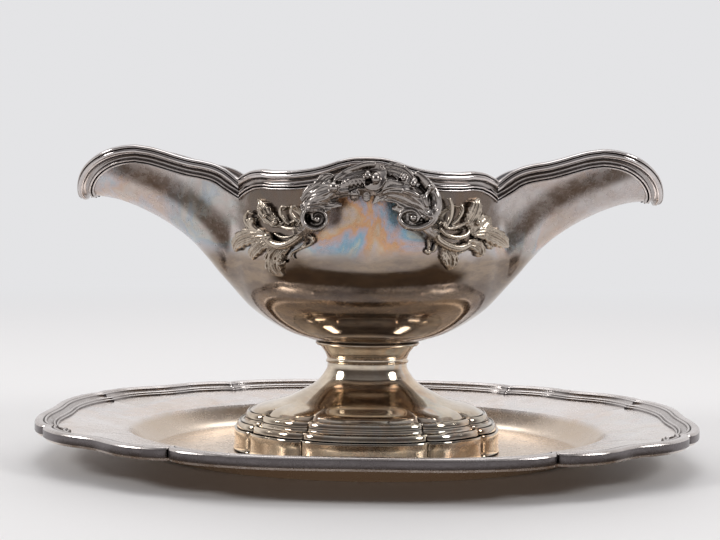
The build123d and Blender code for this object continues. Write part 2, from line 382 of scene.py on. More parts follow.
# ------------------------------------------------------------------ shader nodes
@dataclass(frozen=True)
class NodeKit:
    """Adds and joins nodes in one material or world.

    Attributes:
        tree: the material's or world's nodes.
    """

    tree: bpy.types.NodeTree

    def add(self, kind: str) -> bpy.types.Node:
        """Add a node of a kind."""
        return self.tree.nodes.new(kind)

    def link(self, start: Socket, end: Socket) -> None:
        """Join an output to an input."""
        self.tree.links.new(start, end)

    def place(self) -> Socket:
        """Give the place on the object."""
        return self.add("ShaderNodeTexCoord").outputs["Object"]

    def axes(self, vector: Socket) -> tuple[Socket, Socket, Socket]:
        """Split a vector.

        Args:
            vector: the vector's socket.

        Returns:
            Its X, Y and Z sockets.
        """
        node = self.add("ShaderNodeSeparateXYZ")
        self.link(vector, node.inputs[0])
        return node.outputs["X"], node.outputs["Y"], node.outputs["Z"]

    def facing(self) -> tuple[Socket, Socket, Socket]:
        """Give the X, Y and Z of the way the surface faces."""
        return self.axes(self.add("ShaderNodeNewGeometry").outputs["Normal"])

    def stretched(self, place: Socket, scale: Triple, turn: Triple = (0.0, 0.0, 0.0)) -> Socket:
        """Turn and stretch a place.

        Args:
            place: the place's socket.
            scale: factor along each axis; a small one draws a pattern out.
            turn: angle about each axis, in radians.

        Returns:
            The place socket.
        """
        node = self.add("ShaderNodeMapping")
        node.inputs["Scale"].default_value = scale
        node.inputs["Rotation"].default_value = turn
        self.link(place, node.inputs["Vector"])
        return node.outputs["Vector"]

    def span(self, value: Socket, start: float, end: float, low: float = 0.0, high: float = 1.0) -> Socket:
        """Ease from one level to another as a value runs between two others.

        Args:
            value: the socket to map.
            start: value that gives the low level.
            end: value that gives the high level.
            low: the low level.
            high: the high level.

        Returns:
            The value socket.
        """
        node = self.add("ShaderNodeMapRange")
        node.interpolation_type = "SMOOTHSTEP"
        node.inputs["From Min"].default_value = start
        node.inputs["From Max"].default_value = end
        node.inputs["To Min"].default_value = low
        node.inputs["To Max"].default_value = high
        self.link(value, node.inputs["Value"])
        return node.outputs["Result"]

    def noise(self, place: Socket, scale: float, detail: float, rough: float, twist: float) -> Socket:
        """Add a noise texture.

        Args:
            place: where it is evaluated.
            scale: waves in a metre.
            detail: number of octaves.
            rough: strength of the finer octaves.
            twist: distortion.

        Returns:
            The value socket.
        """
        node = self.add("ShaderNodeTexNoise")
        node.inputs["Scale"].default_value = scale
        node.inputs["Detail"].default_value = detail
        node.inputs["Roughness"].default_value = rough
        node.inputs["Distortion"].default_value = twist
        self.link(place, node.inputs["Vector"])
        return node.outputs["Fac"]

    def ramp(self, value: Socket, stops: Sequence[tuple[float, Triple]]) -> Socket:
        """Map a value through colour stops.

        Args:
            value: the socket to map.
            stops: (place, colour) pairs.

        Returns:
            The colour socket.
        """
        node = self.add("ShaderNodeValToRGB")
        marks = node.color_ramp.elements
        marks[0].position, marks[1].position = stops[0][0], stops[-1][0]
        marks[0].color, marks[1].color = (*stops[0][1], 1.0), (*stops[-1][1], 1.0)
        for place, colour in stops[1:-1]:
            marks.new(place).color = (*colour, 1.0)
        self.link(value, node.inputs["Fac"])
        return node.outputs["Color"]

    def math(self, kind: str, *values: "Socket | float") -> Socket:
        """Combine values.

        Args:
            kind: the sum to do.
            values: its sockets or numbers, in order.

        Returns:
            The value socket.
        """
        node = self.add("ShaderNodeMath")
        node.operation = kind
        for socket, value in zip(node.inputs, values):
            if isinstance(value, float):
                socket.default_value = value
            else:
                self.link(value, socket)
        return node.outputs[0]

    def mix(self, share: Socket, first: "Socket | Triple", second: "Socket | Triple") -> Socket:
        """Mix two colours.

        Args:
            share: how much of the second.
            first: first colour.
            second: second colour.

        Returns:
            The colour socket.
        """
        node = self.add("ShaderNodeMix")
        node.data_type = "RGBA"
        self.link(share, node.inputs[0])
        for socket, colour in ((node.inputs[6], first), (node.inputs[7], second)):
            if isinstance(colour, tuple):
                socket.default_value = (*colour, 1.0)
            else:
                self.link(colour, socket)
        return node.outputs[2]

    def bump(self, height: Socket, reach: float, below: Optional[Socket] = None) -> Socket:
        """Add relief.

        Args:
            height: the relief's pattern.
            reach: its height in metres.
            below: relief that it lies on.

        Returns:
            The normal socket.
        """
        node = self.add("ShaderNodeBump")
        node.inputs["Distance"].default_value = reach
        self.link(height, node.inputs["Height"])
        if below is not None:
            self.link(below, node.inputs["Normal"])
        return node.outputs["Normal"]

    def blend(self, share: Socket, first: Socket, second: Socket) -> Socket:
        """Mix two shaders.

        Args:
            share: how much of the second.
            first: first shader.
            second: second shader.

        Returns:
            The shader socket.
        """
        node = self.add("ShaderNodeMixShader")
        for socket, start in zip(node.inputs, (share, first, second)):
            self.link(start, socket)
        return node.outputs[0]

    def glow(self, colour: Triple) -> Socket:
        """Add a plain glow.

        Args:
            colour: its colour.

        Returns:
            The shader socket.
        """
        node = self.add("ShaderNodeEmission")
        node.inputs["Color"].default_value = (*colour, 1.0)
        return node.outputs[0]


# ------------------------------------------------------------------ finishes
class Tone(Enum):
    """How a silver surface has aged."""

    BOWL = "bowl"
    MOULDING = "moulding"
    CAST = "cast"
    PLATE = "plate"


FILM = ((0.33, (0.52, 0.45, 0.44)), (0.40, (0.60, 0.40, 0.22)), (0.44, (0.64, 0.30, 0.09)),
        (0.475, (0.48, 0.36, 0.37)), (0.51, (0.33, 0.40, 0.50)), (0.545, (0.14, 0.38, 0.54)),
        (0.58, (0.40, 0.50, 0.47)), (0.64, (0.54, 0.46, 0.42)), (0.70, (0.50, 0.45, 0.44)))
# painted reflection colours for the bowl's lower belly, also used as level streaking on the foot
STREAK_AND_REFLECTION_COLOURS = ((0.34, (0.13, 0.097, 0.075)), (0.47, (0.205, 0.155, 0.115)), (0.56, (0.30, 0.225, 0.155)),
           (0.66, (0.19, 0.142, 0.108)))
# painted reflection: the brown bowl mirrored in the plate's well
WELL_REFLECTION_TAN = (0.60, 0.49, 0.38)
# painted shade on upright faces
UPRIGHT_SHADE_GREY = (0.150, 0.135, 0.140)
# painted shade round the leaf mounts
MOUNT_SHADE_BROWN = (0.150, 0.108, 0.078)
# painted shade in the hollows, partly old tarnish
HOLLOW_SHADE_AND_TARNISH = (0.040, 0.031, 0.025)
BLACK = (0.0, 0.0, 0.0)
WHITE = (1.0, 1.0, 1.0)


@dataclass(frozen=True)
class SilverFinish:
    """Silver plate with tarnish, hand-raised undulation and fine wear, with painted shade and painted
    reflection.

    Attributes:
        name: the material's name.
        tone: how the surface has aged.
        silver: colour of the clean metal.
        tarnish: colour of the warm tarnish.
        tarnish_share: how much of it there is.
        gloss: lowest and highest roughness.
        ripple: height of the slow undulation, in metres.
        bloom: strength of the blue and orange film colours.
        groove_shade_and_tarnish: how dark the hollows are painted, shade from ambient occlusion that partly
            stands for old tarnish.
        groove_reach: how wide a hollow may be and still darken, in metres.
        streaks_and_reflection: strength of the level brown and gold streaking, which on the bowl is a painted
            reflection of the plate.
        edge: how dark the upright faces are painted, a painted shade set by the way they face.
    """

    name: str
    tone: Tone
    silver: Triple
    tarnish: Triple
    tarnish_share: float
    gloss: tuple[float, float]
    ripple: float
    bloom: float = 0.0
    groove_shade_and_tarnish: float = 0.0
    groove_reach: float = 0.0015
    streaks_and_reflection: float = 0.0
    edge: float = 0.0

    def material(self) -> bpy.types.Material:
        """Build the material, or fetch it if it is already built.

        Returns:
            The material.
        """
        found = bpy.data.materials.get(self.name)
        if found:
            return found
        made = bpy.data.materials.new(self.name)
        made.use_nodes = True
        kit = NodeKit(made.node_tree)
        shader = kit.tree.nodes["Principled BSDF"]
        shader.inputs["Metallic"].default_value = 1.0
        place = kit.place()
        # the lower belly's mask: real polish and painted reflection of the plate
        low = self.belly_polish_and_reflection(kit, place) if self.tone is Tone.BOWL else None
        kit.link(self.colour(kit, place, low), shader.inputs["Base Color"])
        kit.link(self.roughness(kit, place, low), shader.inputs["Roughness"])
        kit.link(self.relief(kit, place), shader.inputs["Normal"])
        return made

    def colour(self, kit: NodeKit, place: Socket, low: Optional[Socket]) -> Socket:
        """Lay tarnish, film, painted shade and painted reflection over the metal.

        Args:
            kit: the material's nodes.
            place: where it is evaluated.
            low: share of the lower belly, polished and painted with the plate's reflection, on the bowl.

        Returns:
            The colour socket.
        """
        colour = self.tarnished(kit, place)
        if self.bloom:
            colour = self.film(kit, place, colour, low)
        if self.tone is Tone.BOWL:
            # painted shade round the leaf mounts
            colour = self.shaded(kit, place, colour)
        if self.streaks_and_reflection:
            # painted reflection of the plate on the bowl's lower belly; level streaking on other pieces
            colour = self.streaked_and_reflected(kit, place, colour, low)
        if self.tone is Tone.PLATE:
            # painted reflection: the well turns tan below the border, standing for the brown bowl mirrored in
            # it
            well = kit.span(kit.axes(place)[2], 0.0096, 0.0070)
            colour = kit.mix(kit.math("MULTIPLY", well, 0.8), colour, WELL_REFLECTION_TAN)
        if self.edge:
            # painted shade: faces that stand upright turn dark grey, by the way they face
            upright = kit.span(kit.math("ABSOLUTE", kit.facing()[2]), 0.5, 0.15)
            colour = kit.mix(kit.math("MULTIPLY", upright, self.edge), colour, UPRIGHT_SHADE_GREY)
        if self.groove_shade_and_tarnish:
            # painted shade in the hollows from ambient occlusion, partly old tarnish
            colour = self.darkened(kit, colour)
        return colour

    def tarnished(self, kit: NodeKit, place: Socket) -> Socket:
        """Mottle the clean metal with warm tarnish.

        Args:
            kit: the material's nodes.
            place: where it is evaluated.

        Returns:
            The colour socket.
        """
        cloud = kit.noise(place, 38.0, 5.0, 0.6, 0.6)
        patch = kit.noise(place, 150.0, 7.0, 0.68, 0.4)
        share = kit.ramp(cloud, [(0.36, BLACK), (0.66, WHITE)])
        mottle = kit.ramp(patch, [(0.36, (0.35,) * 3), (0.62, WHITE)])
        amount = kit.math("MULTIPLY", kit.math("MULTIPLY", share, mottle), self.tarnish_share)
        return kit.mix(amount, self.silver, self.tarnish)

    def belly_polish_and_reflection(self, kit: NodeKit, place: Socket) -> Socket:
        """Mark the lower belly, which is better polished and takes the painted brown reflection of the plate,
        with a wavering edge.

        Args:
            kit: the material's nodes.
            place: where it is evaluated.

        Returns:
            The value socket, 1 on the lower belly.
        """
        shift = kit.math("MULTIPLY", kit.noise(place, 45.0, 5.0, 0.6, 0.5), 0.010)
        return kit.span(kit.math("ADD", kit.axes(place)[2], shift), 0.0860, 0.0800)

    def film(self, kit: NodeKit, place: Socket, colour: Socket, low: Optional[Socket]) -> Socket:
        """Lay the blue, rose and orange tarnish film over a colour.

        Args:
            kit: the material's nodes.
            place: where it is evaluated.
            colour: the colour so far.
            low: share of the lower belly, polished and painted with the plate's reflection, where the film is
                left off.

        Returns:
            The colour socket.
        """
        rainbow = kit.ramp(kit.noise(place, 30.0, 6.0, 0.62, 1.2), FILM)
        strength = kit.ramp(kit.noise(place, 17.0, 4.0, 0.55, 0.3), [(0.42, (0.10,) * 3), (0.58, WHITE)])
        if self.tone is Tone.BOWL:
            middle = kit.span(kit.math("ABSOLUTE", kit.axes(place)[0]), 0.040, 0.012)
            rest = kit.math("MULTIPLY_ADD", middle, 0.62, 0.38)
            strength = kit.math("MAXIMUM", strength, kit.math("MULTIPLY", middle, 0.8))
            strength = kit.math("MULTIPLY", strength, rest)
        if low is not None:
            strength = kit.math("MULTIPLY", strength, kit.math("SUBTRACT", 1.0, low))
        return kit.mix(kit.math("MULTIPLY", strength, self.bloom), colour, rainbow)

    def shaded(self, kit: NodeKit, place: Socket, colour: Socket) -> Socket:
        """Paint shade round the leaf mounts: a dark brown patch on the faces that look to the front and the
        back.

        Args:
            kit: the material's nodes.
            place: where it is evaluated.
            colour: the colour so far.

        Returns:
            The colour socket.
        """
        x, y, z = kit.axes(place)
        outward = kit.span(kit.math("MULTIPLY", y, kit.facing()[1]), 0.004, 0.012)
        across = kit.math("DIVIDE", kit.math("SUBTRACT", kit.math("ABSOLUTE", x), 0.0325), 0.0190)
        up = kit.math("DIVIDE", kit.math("SUBTRACT", z, 0.0945), 0.0150)
        cubes = [kit.math("POWER", kit.math("ABSOLUTE", gap), 3.0) for gap in (across, up)]
        waver = kit.math("MULTIPLY", kit.noise(place, 120.0, 5.0, 0.6, 0.5), 1.3)
        near = kit.span(kit.math("ADD", kit.math("ADD", *cubes), waver), 1.75, 0.85)
        share = kit.math("MULTIPLY", kit.math("MULTIPLY", near, outward), 0.86)
        # painted shade: a dark oval patch round each mount
        return kit.mix(share, colour, MOUNT_SHADE_BROWN)

    def streaked_and_reflected(self, kit: NodeKit, place: Socket, colour: Socket, low: Optional[Socket]) -> Socket:
        """Draw level brown and gold streaking; on the bowl's lower belly it is a painted reflection of the
        plate and the bowl.

        Args:
            kit: the material's nodes.
            place: where it is evaluated.
            colour: the colour so far.
            low: share of the lower belly, which is where the painted reflection lies on the bowl.

        Returns:
            The colour socket.
        """
        lines = kit.noise(kit.stretched(place, (0.32, 0.32, 1.0)), 130.0, 7.0, 0.70, 0.25)
        where = kit.ramp(lines, [(0.45, BLACK), (0.6, WHITE)]) if low is None else low
        return kit.mix(kit.math("MULTIPLY", where, self.streaks_and_reflection), colour, kit.ramp(lines, STREAK_AND_REFLECTION_COLOURS))

    def darkened(self, kit: NodeKit, colour: Socket) -> Socket:
        """Darken the hollows by ambient occlusion: painted shade, which also stands for old tarnish there.

        Args:
            kit: the material's nodes.
            colour: the colour so far.

        Returns:
            The colour socket.
        """
        shade = kit.add("ShaderNodeAmbientOcclusion")
        shade.samples = 8
        shade.inputs["Distance"].default_value = self.groove_reach
        dark = kit.ramp(shade.outputs["AO"], [(0.38, WHITE), (0.90, BLACK)])
        return kit.mix(kit.math("MULTIPLY", dark, self.groove_shade_and_tarnish), colour, HOLLOW_SHADE_AND_TARNISH)

    def roughness(self, kit: NodeKit, place: Socket, low: Optional[Socket]) -> Socket:
        """Vary the polish with wear.

        Args:
            kit: the material's nodes.
            place: where it is evaluated.
            low: share of the lower belly's polish, where the metal is brighter.

        Returns:
            The value socket.
        """
        rough = kit.span(kit.noise(place, 190.0, 8.0, 0.72, 0.2), 0.32, 0.70, *self.gloss)
        if low is None:
            return rough
        return kit.math("MULTIPLY", rough, kit.math("MULTIPLY_ADD", low, -0.60, 1.0))

    def relief(self, kit: NodeKit, place: Socket) -> Socket:
        """Raise slow hammering, fine pitting and hair scratches.

        Args:
            kit: the material's nodes.
            place: where it is evaluated.

        Returns:
            The normal socket.
        """
        slow = kit.noise(place, 42.0, 2.0, 0.45, 0.0)
        fine = kit.noise(place, 900.0, 5.0, 0.65, 0.0)
        drawn = kit.stretched(place, (0.06, 0.06, 1.0), (0.2, 0.35, 0.1))
        scratch = kit.noise(drawn, 2600.0, 2.0, 0.5, 0.0)
        bump = kit.bump(slow, self.ripple)
        bump = kit.bump(fine, 0.0000030, bump)
        return kit.bump(scratch, 0.0000020, bump)


BOWL_SILVER = SilverFinish(
    "aged_bowl_silver", Tone.BOWL, silver=(0.61, 0.57, 0.56), tarnish=(0.42, 0.31, 0.245), tarnish_share=0.70,
    bloom=0.95, gloss=(0.17, 0.34), ripple=0.00012, streaks_and_reflection=0.85)
MOULDING_SILVER = SilverFinish(
    "aged_moulding_silver", Tone.MOULDING, silver=(0.70, 0.66, 0.65), tarnish=(0.33, 0.265, 0.225),
    tarnish_share=0.75, gloss=(0.09, 0.19), ripple=0.00002, groove_shade_and_tarnish=1.0, groove_reach=0.0030)
CAST_SILVER = SilverFinish(
    "aged_cast_silver", Tone.CAST, silver=(0.45, 0.415, 0.39), tarnish=(0.22, 0.185, 0.165),
    tarnish_share=0.7, gloss=(0.16, 0.30), ripple=0.00001, groove_shade_and_tarnish=0.95, groove_reach=0.0026)
MOUNT_SILVER = SilverFinish(
    "aged_mount_silver", Tone.CAST, silver=(0.56, 0.49, 0.41), tarnish=(0.27, 0.205, 0.145),
    tarnish_share=0.75, gloss=(0.16, 0.30), ripple=0.00001, groove_shade_and_tarnish=0.95, groove_reach=0.0024)
FOOT_SILVER = SilverFinish(
    "aged_foot_silver", Tone.MOULDING, silver=(0.80, 0.70, 0.56), tarnish=(0.47, 0.35, 0.25),
    tarnish_share=0.7, bloom=0.25, gloss=(0.06, 0.15), ripple=0.00005, groove_shade_and_tarnish=0.9, streaks_and_reflection=0.3)
PLATE_SILVER = SilverFinish(
    "aged_plate_silver", Tone.PLATE, silver=(0.82, 0.77, 0.74), tarnish=(0.62, 0.50, 0.40),
    tarnish_share=0.6, bloom=0.10, gloss=(0.18, 0.32), ripple=0.00006)
PLATE_MOULDING_SILVER = SilverFinish(
    "aged_plate_moulding_silver", Tone.MOULDING, silver=(0.66, 0.62, 0.60), tarnish=(0.33, 0.28, 0.25),
    tarnish_share=0.65, gloss=(0.20, 0.32), ripple=0.00002, groove_shade_and_tarnish=1.0, groove_reach=0.0028, edge=0.92)


# ------------------------------------------------------------------ plate
@dataclass
class Plate:
    """The lobed plate: one dished sheet and eight lengths of rim moulding.

    Attributes:
        contour: outline of the plate.
        sheet: thickness of the dished sheet.
        floor: half length and half width of the well's flat floor.
        well: half length and half width of the crease round the well.
        border: height of the sheet at that crease.
        rim_width: width of the rim moulding in plan.
        rim_edge: height of the moulding's upright edge.
        under_rim: height of the border where it meets the moulding.
    """

    contour: Contour = Contour(PLATE_EDGE * 2, PLATE_SIDE * 2, (10.7, 2.0), (8.6, 3.1), (15.7, 1.9),
                               0.257, 0.2207)
    sheet: float = 1.4
    floor: Pair = (85.3, 60.5)
    well: Pair = (93.3, 65.6)
    border: float = 9.2
    rim_width: float = 10.0
    rim_edge: float = 3.0
    under_rim: float = FLANGE_TOP

    def build(self) -> None:
        """Build the dish and the rim."""
        self.build_dish()
        names = ("right_end", "back_right", "back", "back_left",
                 "left_end", "front_left", "front", "front_right")
        for index, place in enumerate(names):
            self.build_rim(index, f"plate_rim_{place}")

    def dish_rows(self) -> list[tuple[Array, float]]:
        """Lay out the top of the dish as outlines, from its middle to under the rim.

        Returns:
            (outline, height) pairs.
        """
        edge = self.contour.outline(1.0)
        inner = self.contour.outline(self.rim_width - 0.6)
        floor_oval, well_oval = oval(inner, *self.floor), oval(inner, *self.well)
        rows = [(floor_oval * share, self.sheet) for share in (0.06, 0.2, 0.4, 0.6, 0.8, 0.92, 0.965)]
        for k in range(1, 15):
            t = k / 14
            height = self.sheet + (self.border - self.sheet) * (0.35 * ease(np.array(t)) + 0.65 * t ** 1.25)
            rows.append((floor_oval * (0.965 + 0.035 * t) * (1 - t) + well_oval * t, float(height)))
        for k in range(1, 13):
            t = k / 12
            lift = (self.under_rim - self.border) * (1 - (1 - t) ** 1.4)
            rows.append((well_oval * (1 - t) + inner * t, self.border + lift))
        rows.append((edge * 0.5 + inner * 0.5, self.under_rim))
        rows.append((edge, self.under_rim))
        return rows

    def build_dish(self) -> None:
        """Build the dished sheet, top and underside."""
        rows = self.dish_rows()
        top = [at_height(outline, height) for outline, height in rows]
        under = [at_height(outline, height - self.sheet) for outline, height in rows]
        around = len(top[0])
        points = np.concatenate(top + under[::-1] + [np.array([[0, 0, self.sheet], [0, 0, 0.0]])])
        count = 2 * len(rows)
        faces = grid_faces(count, around, False, True)
        for c in range(around):
            faces.append((count * around, c, (c + 1) % around))
            last = (count - 1) * around
            faces.append((count * around + 1, last + (c + 1) % around, last + c))
        dish = new_object("dished_sheet", points, faces, 32.0)
        dress(dish, PLATE_SILVER, PLATE_BODY, "plate_dish")

    def section(self) -> Array:
        """Draw the rim moulding's closed section.

        Returns:
            (distance in, height) points.
        """
        low, high = self.under_rim, self.under_rim + self.rim_edge
        top = section_line((0.0, low - 0.35), [
            Thread(0.0, low), Thread(0.0, high - 0.75), Thread(0.55, high - 0.05, 0.12),
            Thread(2.75, high - 0.2, 0.28), Thread(0.30, high - 0.75), Thread(0.25, high - 0.55),
            Thread(1.05, high - 0.75, 0.50), Thread(2.55, low + 1.15, -0.85), Thread(0.95, low + 1.0, 0.48),
            Thread(0.30, low + 0.55), Thread(0.85, low + 0.35, 0.42), Thread(0.25, low - 0.25)])
        closing = np.array([[self.rim_width - 0.4, low - 0.6], [0.5, low - 0.6]])
        return np.concatenate([top, closing])

    def build_rim(self, index: int, node: str) -> None:
        """Build one length of the rim moulding.

        Args:
            index: number of the lobe.
            node: the CAD node it stands for.
        """
        section = self.section()
        lines = [at_height(self.contour.lobe(index, float(inset), 73), float(height))
                 for inset, height in section]
        bar = bar_mesh(node + "_moulding", np.stack(lines, axis=1), 38.0)
        dress(bar, PLATE_MOULDING_SILVER, PLATE_BODY, node)


# ------------------------------------------------------------------ foot and neck
@dataclass
class Foot:
    """The boat's foot: lobed band, two-step moulding, flared pedestal, spool and collar.

    Attributes:
        contour: outline of the band.
        base: height of the band's underside.
        band: height of the upright band.
        moulding_top: height of the pedestal's edge over the base.
        pedestal_inset: how far the pedestal's edge stands in.
        waist: radius at the seam.
        seam: height of the seam.
        spool_top: height of the spool's upper edge.
        collar: radius of the collar.
        collar_top: height of the collar's upper edge.
        flat: width of the neck's oval as a share of its length.
    """

    contour: Contour = Contour(FOOT_LENGTH, FOOT_WIDTH, (8.6, 0.4), (3.8, 0.5), (6.2, 0.4),
                               0.224, 0.244, 0.62)
    base: float = BOAT_BASE
    band: float = 8.2
    moulding_top: float = 14.6
    pedestal_inset: float = 9.3
    waist: float = 15.5
    seam: float = 34.0
    spool_top: float = 40.2
    collar: float = 20.4
    collar_top: float = 42.6
    flat: float = FOOT_WIDTH / FOOT_LENGTH

    def build(self) -> None:
        """Build every piece of the foot and neck."""
        self.build_band()
        self.build_moulding()
        self.build_pedestal()
        self.build_turned("neck_spool", "spool", [
            (self.waist + 0.55, self.seam - 0.45), (self.waist + 0.75, self.seam + 0.1),
            (self.waist + 0.35, self.seam + 0.55), (self.waist + 0.25, self.seam + 0.9),
            (self.waist + 0.5, self.seam + 2.0), (self.waist + 1.3, self.seam + 3.7),
            (self.waist + 2.5, self.seam + 5.2), (self.waist + 3.2, self.spool_top)])
        self.build_turned("neck_collar", "collar", [
            (self.collar - 1.5, self.spool_top - 0.1), (self.collar - 0.5, self.spool_top + 0.1),
            (self.collar, self.spool_top + 0.75), (self.collar - 0.15, self.spool_top + 1.3),
            (self.collar - 0.55, self.spool_top + 1.6), (self.collar - 0.2, self.spool_top + 1.9),
            (self.collar + 0.5, self.collar_top - 0.1), (self.collar + 0.3, self.collar_top + 0.2)])

    def sweep(self, piece: str, node: str, section: Array) -> None:
        """Carry a closed section round the contour and dress it.

        Args:
            piece: name of the piece.
            node: the CAD node it stands for.
            section: closed (distance in, height over the base) points.
        """
        lines = [at_height(self.contour.outline(float(inset), 33), float(height) + self.base)
                 for inset, height in section]
        made = ring_mesh(piece, np.stack(lines, axis=1), 38.0)
        dress(made, FOOT_SILVER, BOAT_BODY, node)

    def build_band(self) -> None:
        """Build the upright band."""
        outside = section_line((0.9, 0.0), [
            Thread(-0.6, 0.1), Thread(-0.3, 0.5), Thread(0.25, 0.9), Thread(0.1, 2.2), Thread(0.1, 5.0),
            Thread(-0.15, self.band - 0.7), Thread(0.35, self.band, 0.18), Thread(1.6, self.band + 0.1)])
        inside = np.array([[2.4, self.band - 1.2], [1.9, self.band - 2.0], [1.7, 0.6], [1.4, 0.0]])
        self.sweep("upright_band", "foot_band", np.concatenate([outside, inside]))

    def build_moulding(self) -> None:
        """Build the stepped moulding: two rounds with a hollow and fillets between."""
        low = self.band - 0.1
        outside = section_line((1.5, low), [
            Thread(0.6, low + 0.15), Thread(-0.5, low + 0.55), Thread(1.3, low + 2.3, 0.85),
            Thread(0.75, low + 2.1), Thread(0.05, low + 2.8), Thread(1.7, low + 3.4, -0.55),
            Thread(0.1, low + 4.0), Thread(0.55, low + 3.9), Thread(-0.35, low + 4.3),
            Thread(1.5, low + 5.9, 0.90), Thread(0.8, low + 5.75), Thread(0.1, low + 6.4),
            Thread(1.3, self.moulding_top)])
        inside = np.array([[11.5, self.moulding_top - 1.2], [8.5, self.band + 1.0], [4.0, self.band - 0.8]])
        self.sweep("stepped_moulding", "foot_moulding", np.concatenate([outside, inside]))

    def build_pedestal(self) -> None:
        """Build the flared pedestal, lobed at its edge and oval at its waist."""
        flare = smooth_line([(0.0, 1.0), (0.08, 0.93), (0.22, 0.61), (0.37, 0.39), (0.53, 0.195),
                             (0.72, 0.066), (0.90, 0.004), (1.0, 0.0)])
        edge = self.contour.outline(self.pedestal_inset - 0.6, 33)
        waist = oval(edge, self.waist, self.waist * self.flat)
        round_edge = oval(edge, self.contour.length / 2 - self.pedestal_inset + 0.6,
                          self.contour.width / 2 - self.pedestal_inset + 0.6)
        rows = []
        for up in np.concatenate([np.linspace(0, 0.2, 14), np.linspace(0.22, 1.0, 30)]):
            share = float(flare(np.array(up)))
            lobed = 1 - float(ease(np.array(up / 0.30)))
            outline = (edge * lobed + round_edge * (1 - lobed)) * share + waist * (1 - share)
            height = self.moulding_top - 0.15 + (self.seam - self.moulding_top + 0.15) * up
            rows.append(at_height(outline, self.base + height))
        shrink = np.array([1 - 1.2 / 30, 1 - 1.2 / 24, 1.0])
        inner = [row * shrink - np.array([0, 0, 0.9]) for row in rows[::-1]]
        inner[0] = rows[-1] * np.array([1 - 1.2 / self.waist, 1 - 1.2 / (self.waist * self.flat), 1.0])
        sections = np.stack(rows + inner, axis=1)
        dress(ring_mesh("flared_pedestal", sections, 38.0), FOOT_SILVER, BOAT_BODY, "pedestal")

    def build_turned(self, node: str, piece: str, outline: list[Pair]) -> None:
        """Turn an oval ring from its outer line.

        Args:
            node: the CAD node it stands for.
            piece: name of the piece.
            outline: (radius, height over the base) points from the bottom up.
        """
        knots = np.array(outline)
        inside = np.array([[self.waist - 1.4, outline[-1][1]], [self.waist - 1.4, outline[0][1]]])
        section = np.concatenate([knots, inside])
        angle = np.linspace(0, 2 * np.pi, 160, endpoint=False)
        rows = [np.column_stack([radius * np.cos(angle), radius * self.flat * np.sin(angle),
                                 np.full(160, height + self.base)]) for radius, height in section]
        piece_mesh = ring_mesh(piece + "_ring", np.stack(rows, axis=1), 50.0)
        dress(piece_mesh, FOOT_SILVER, BOAT_BODY, node)


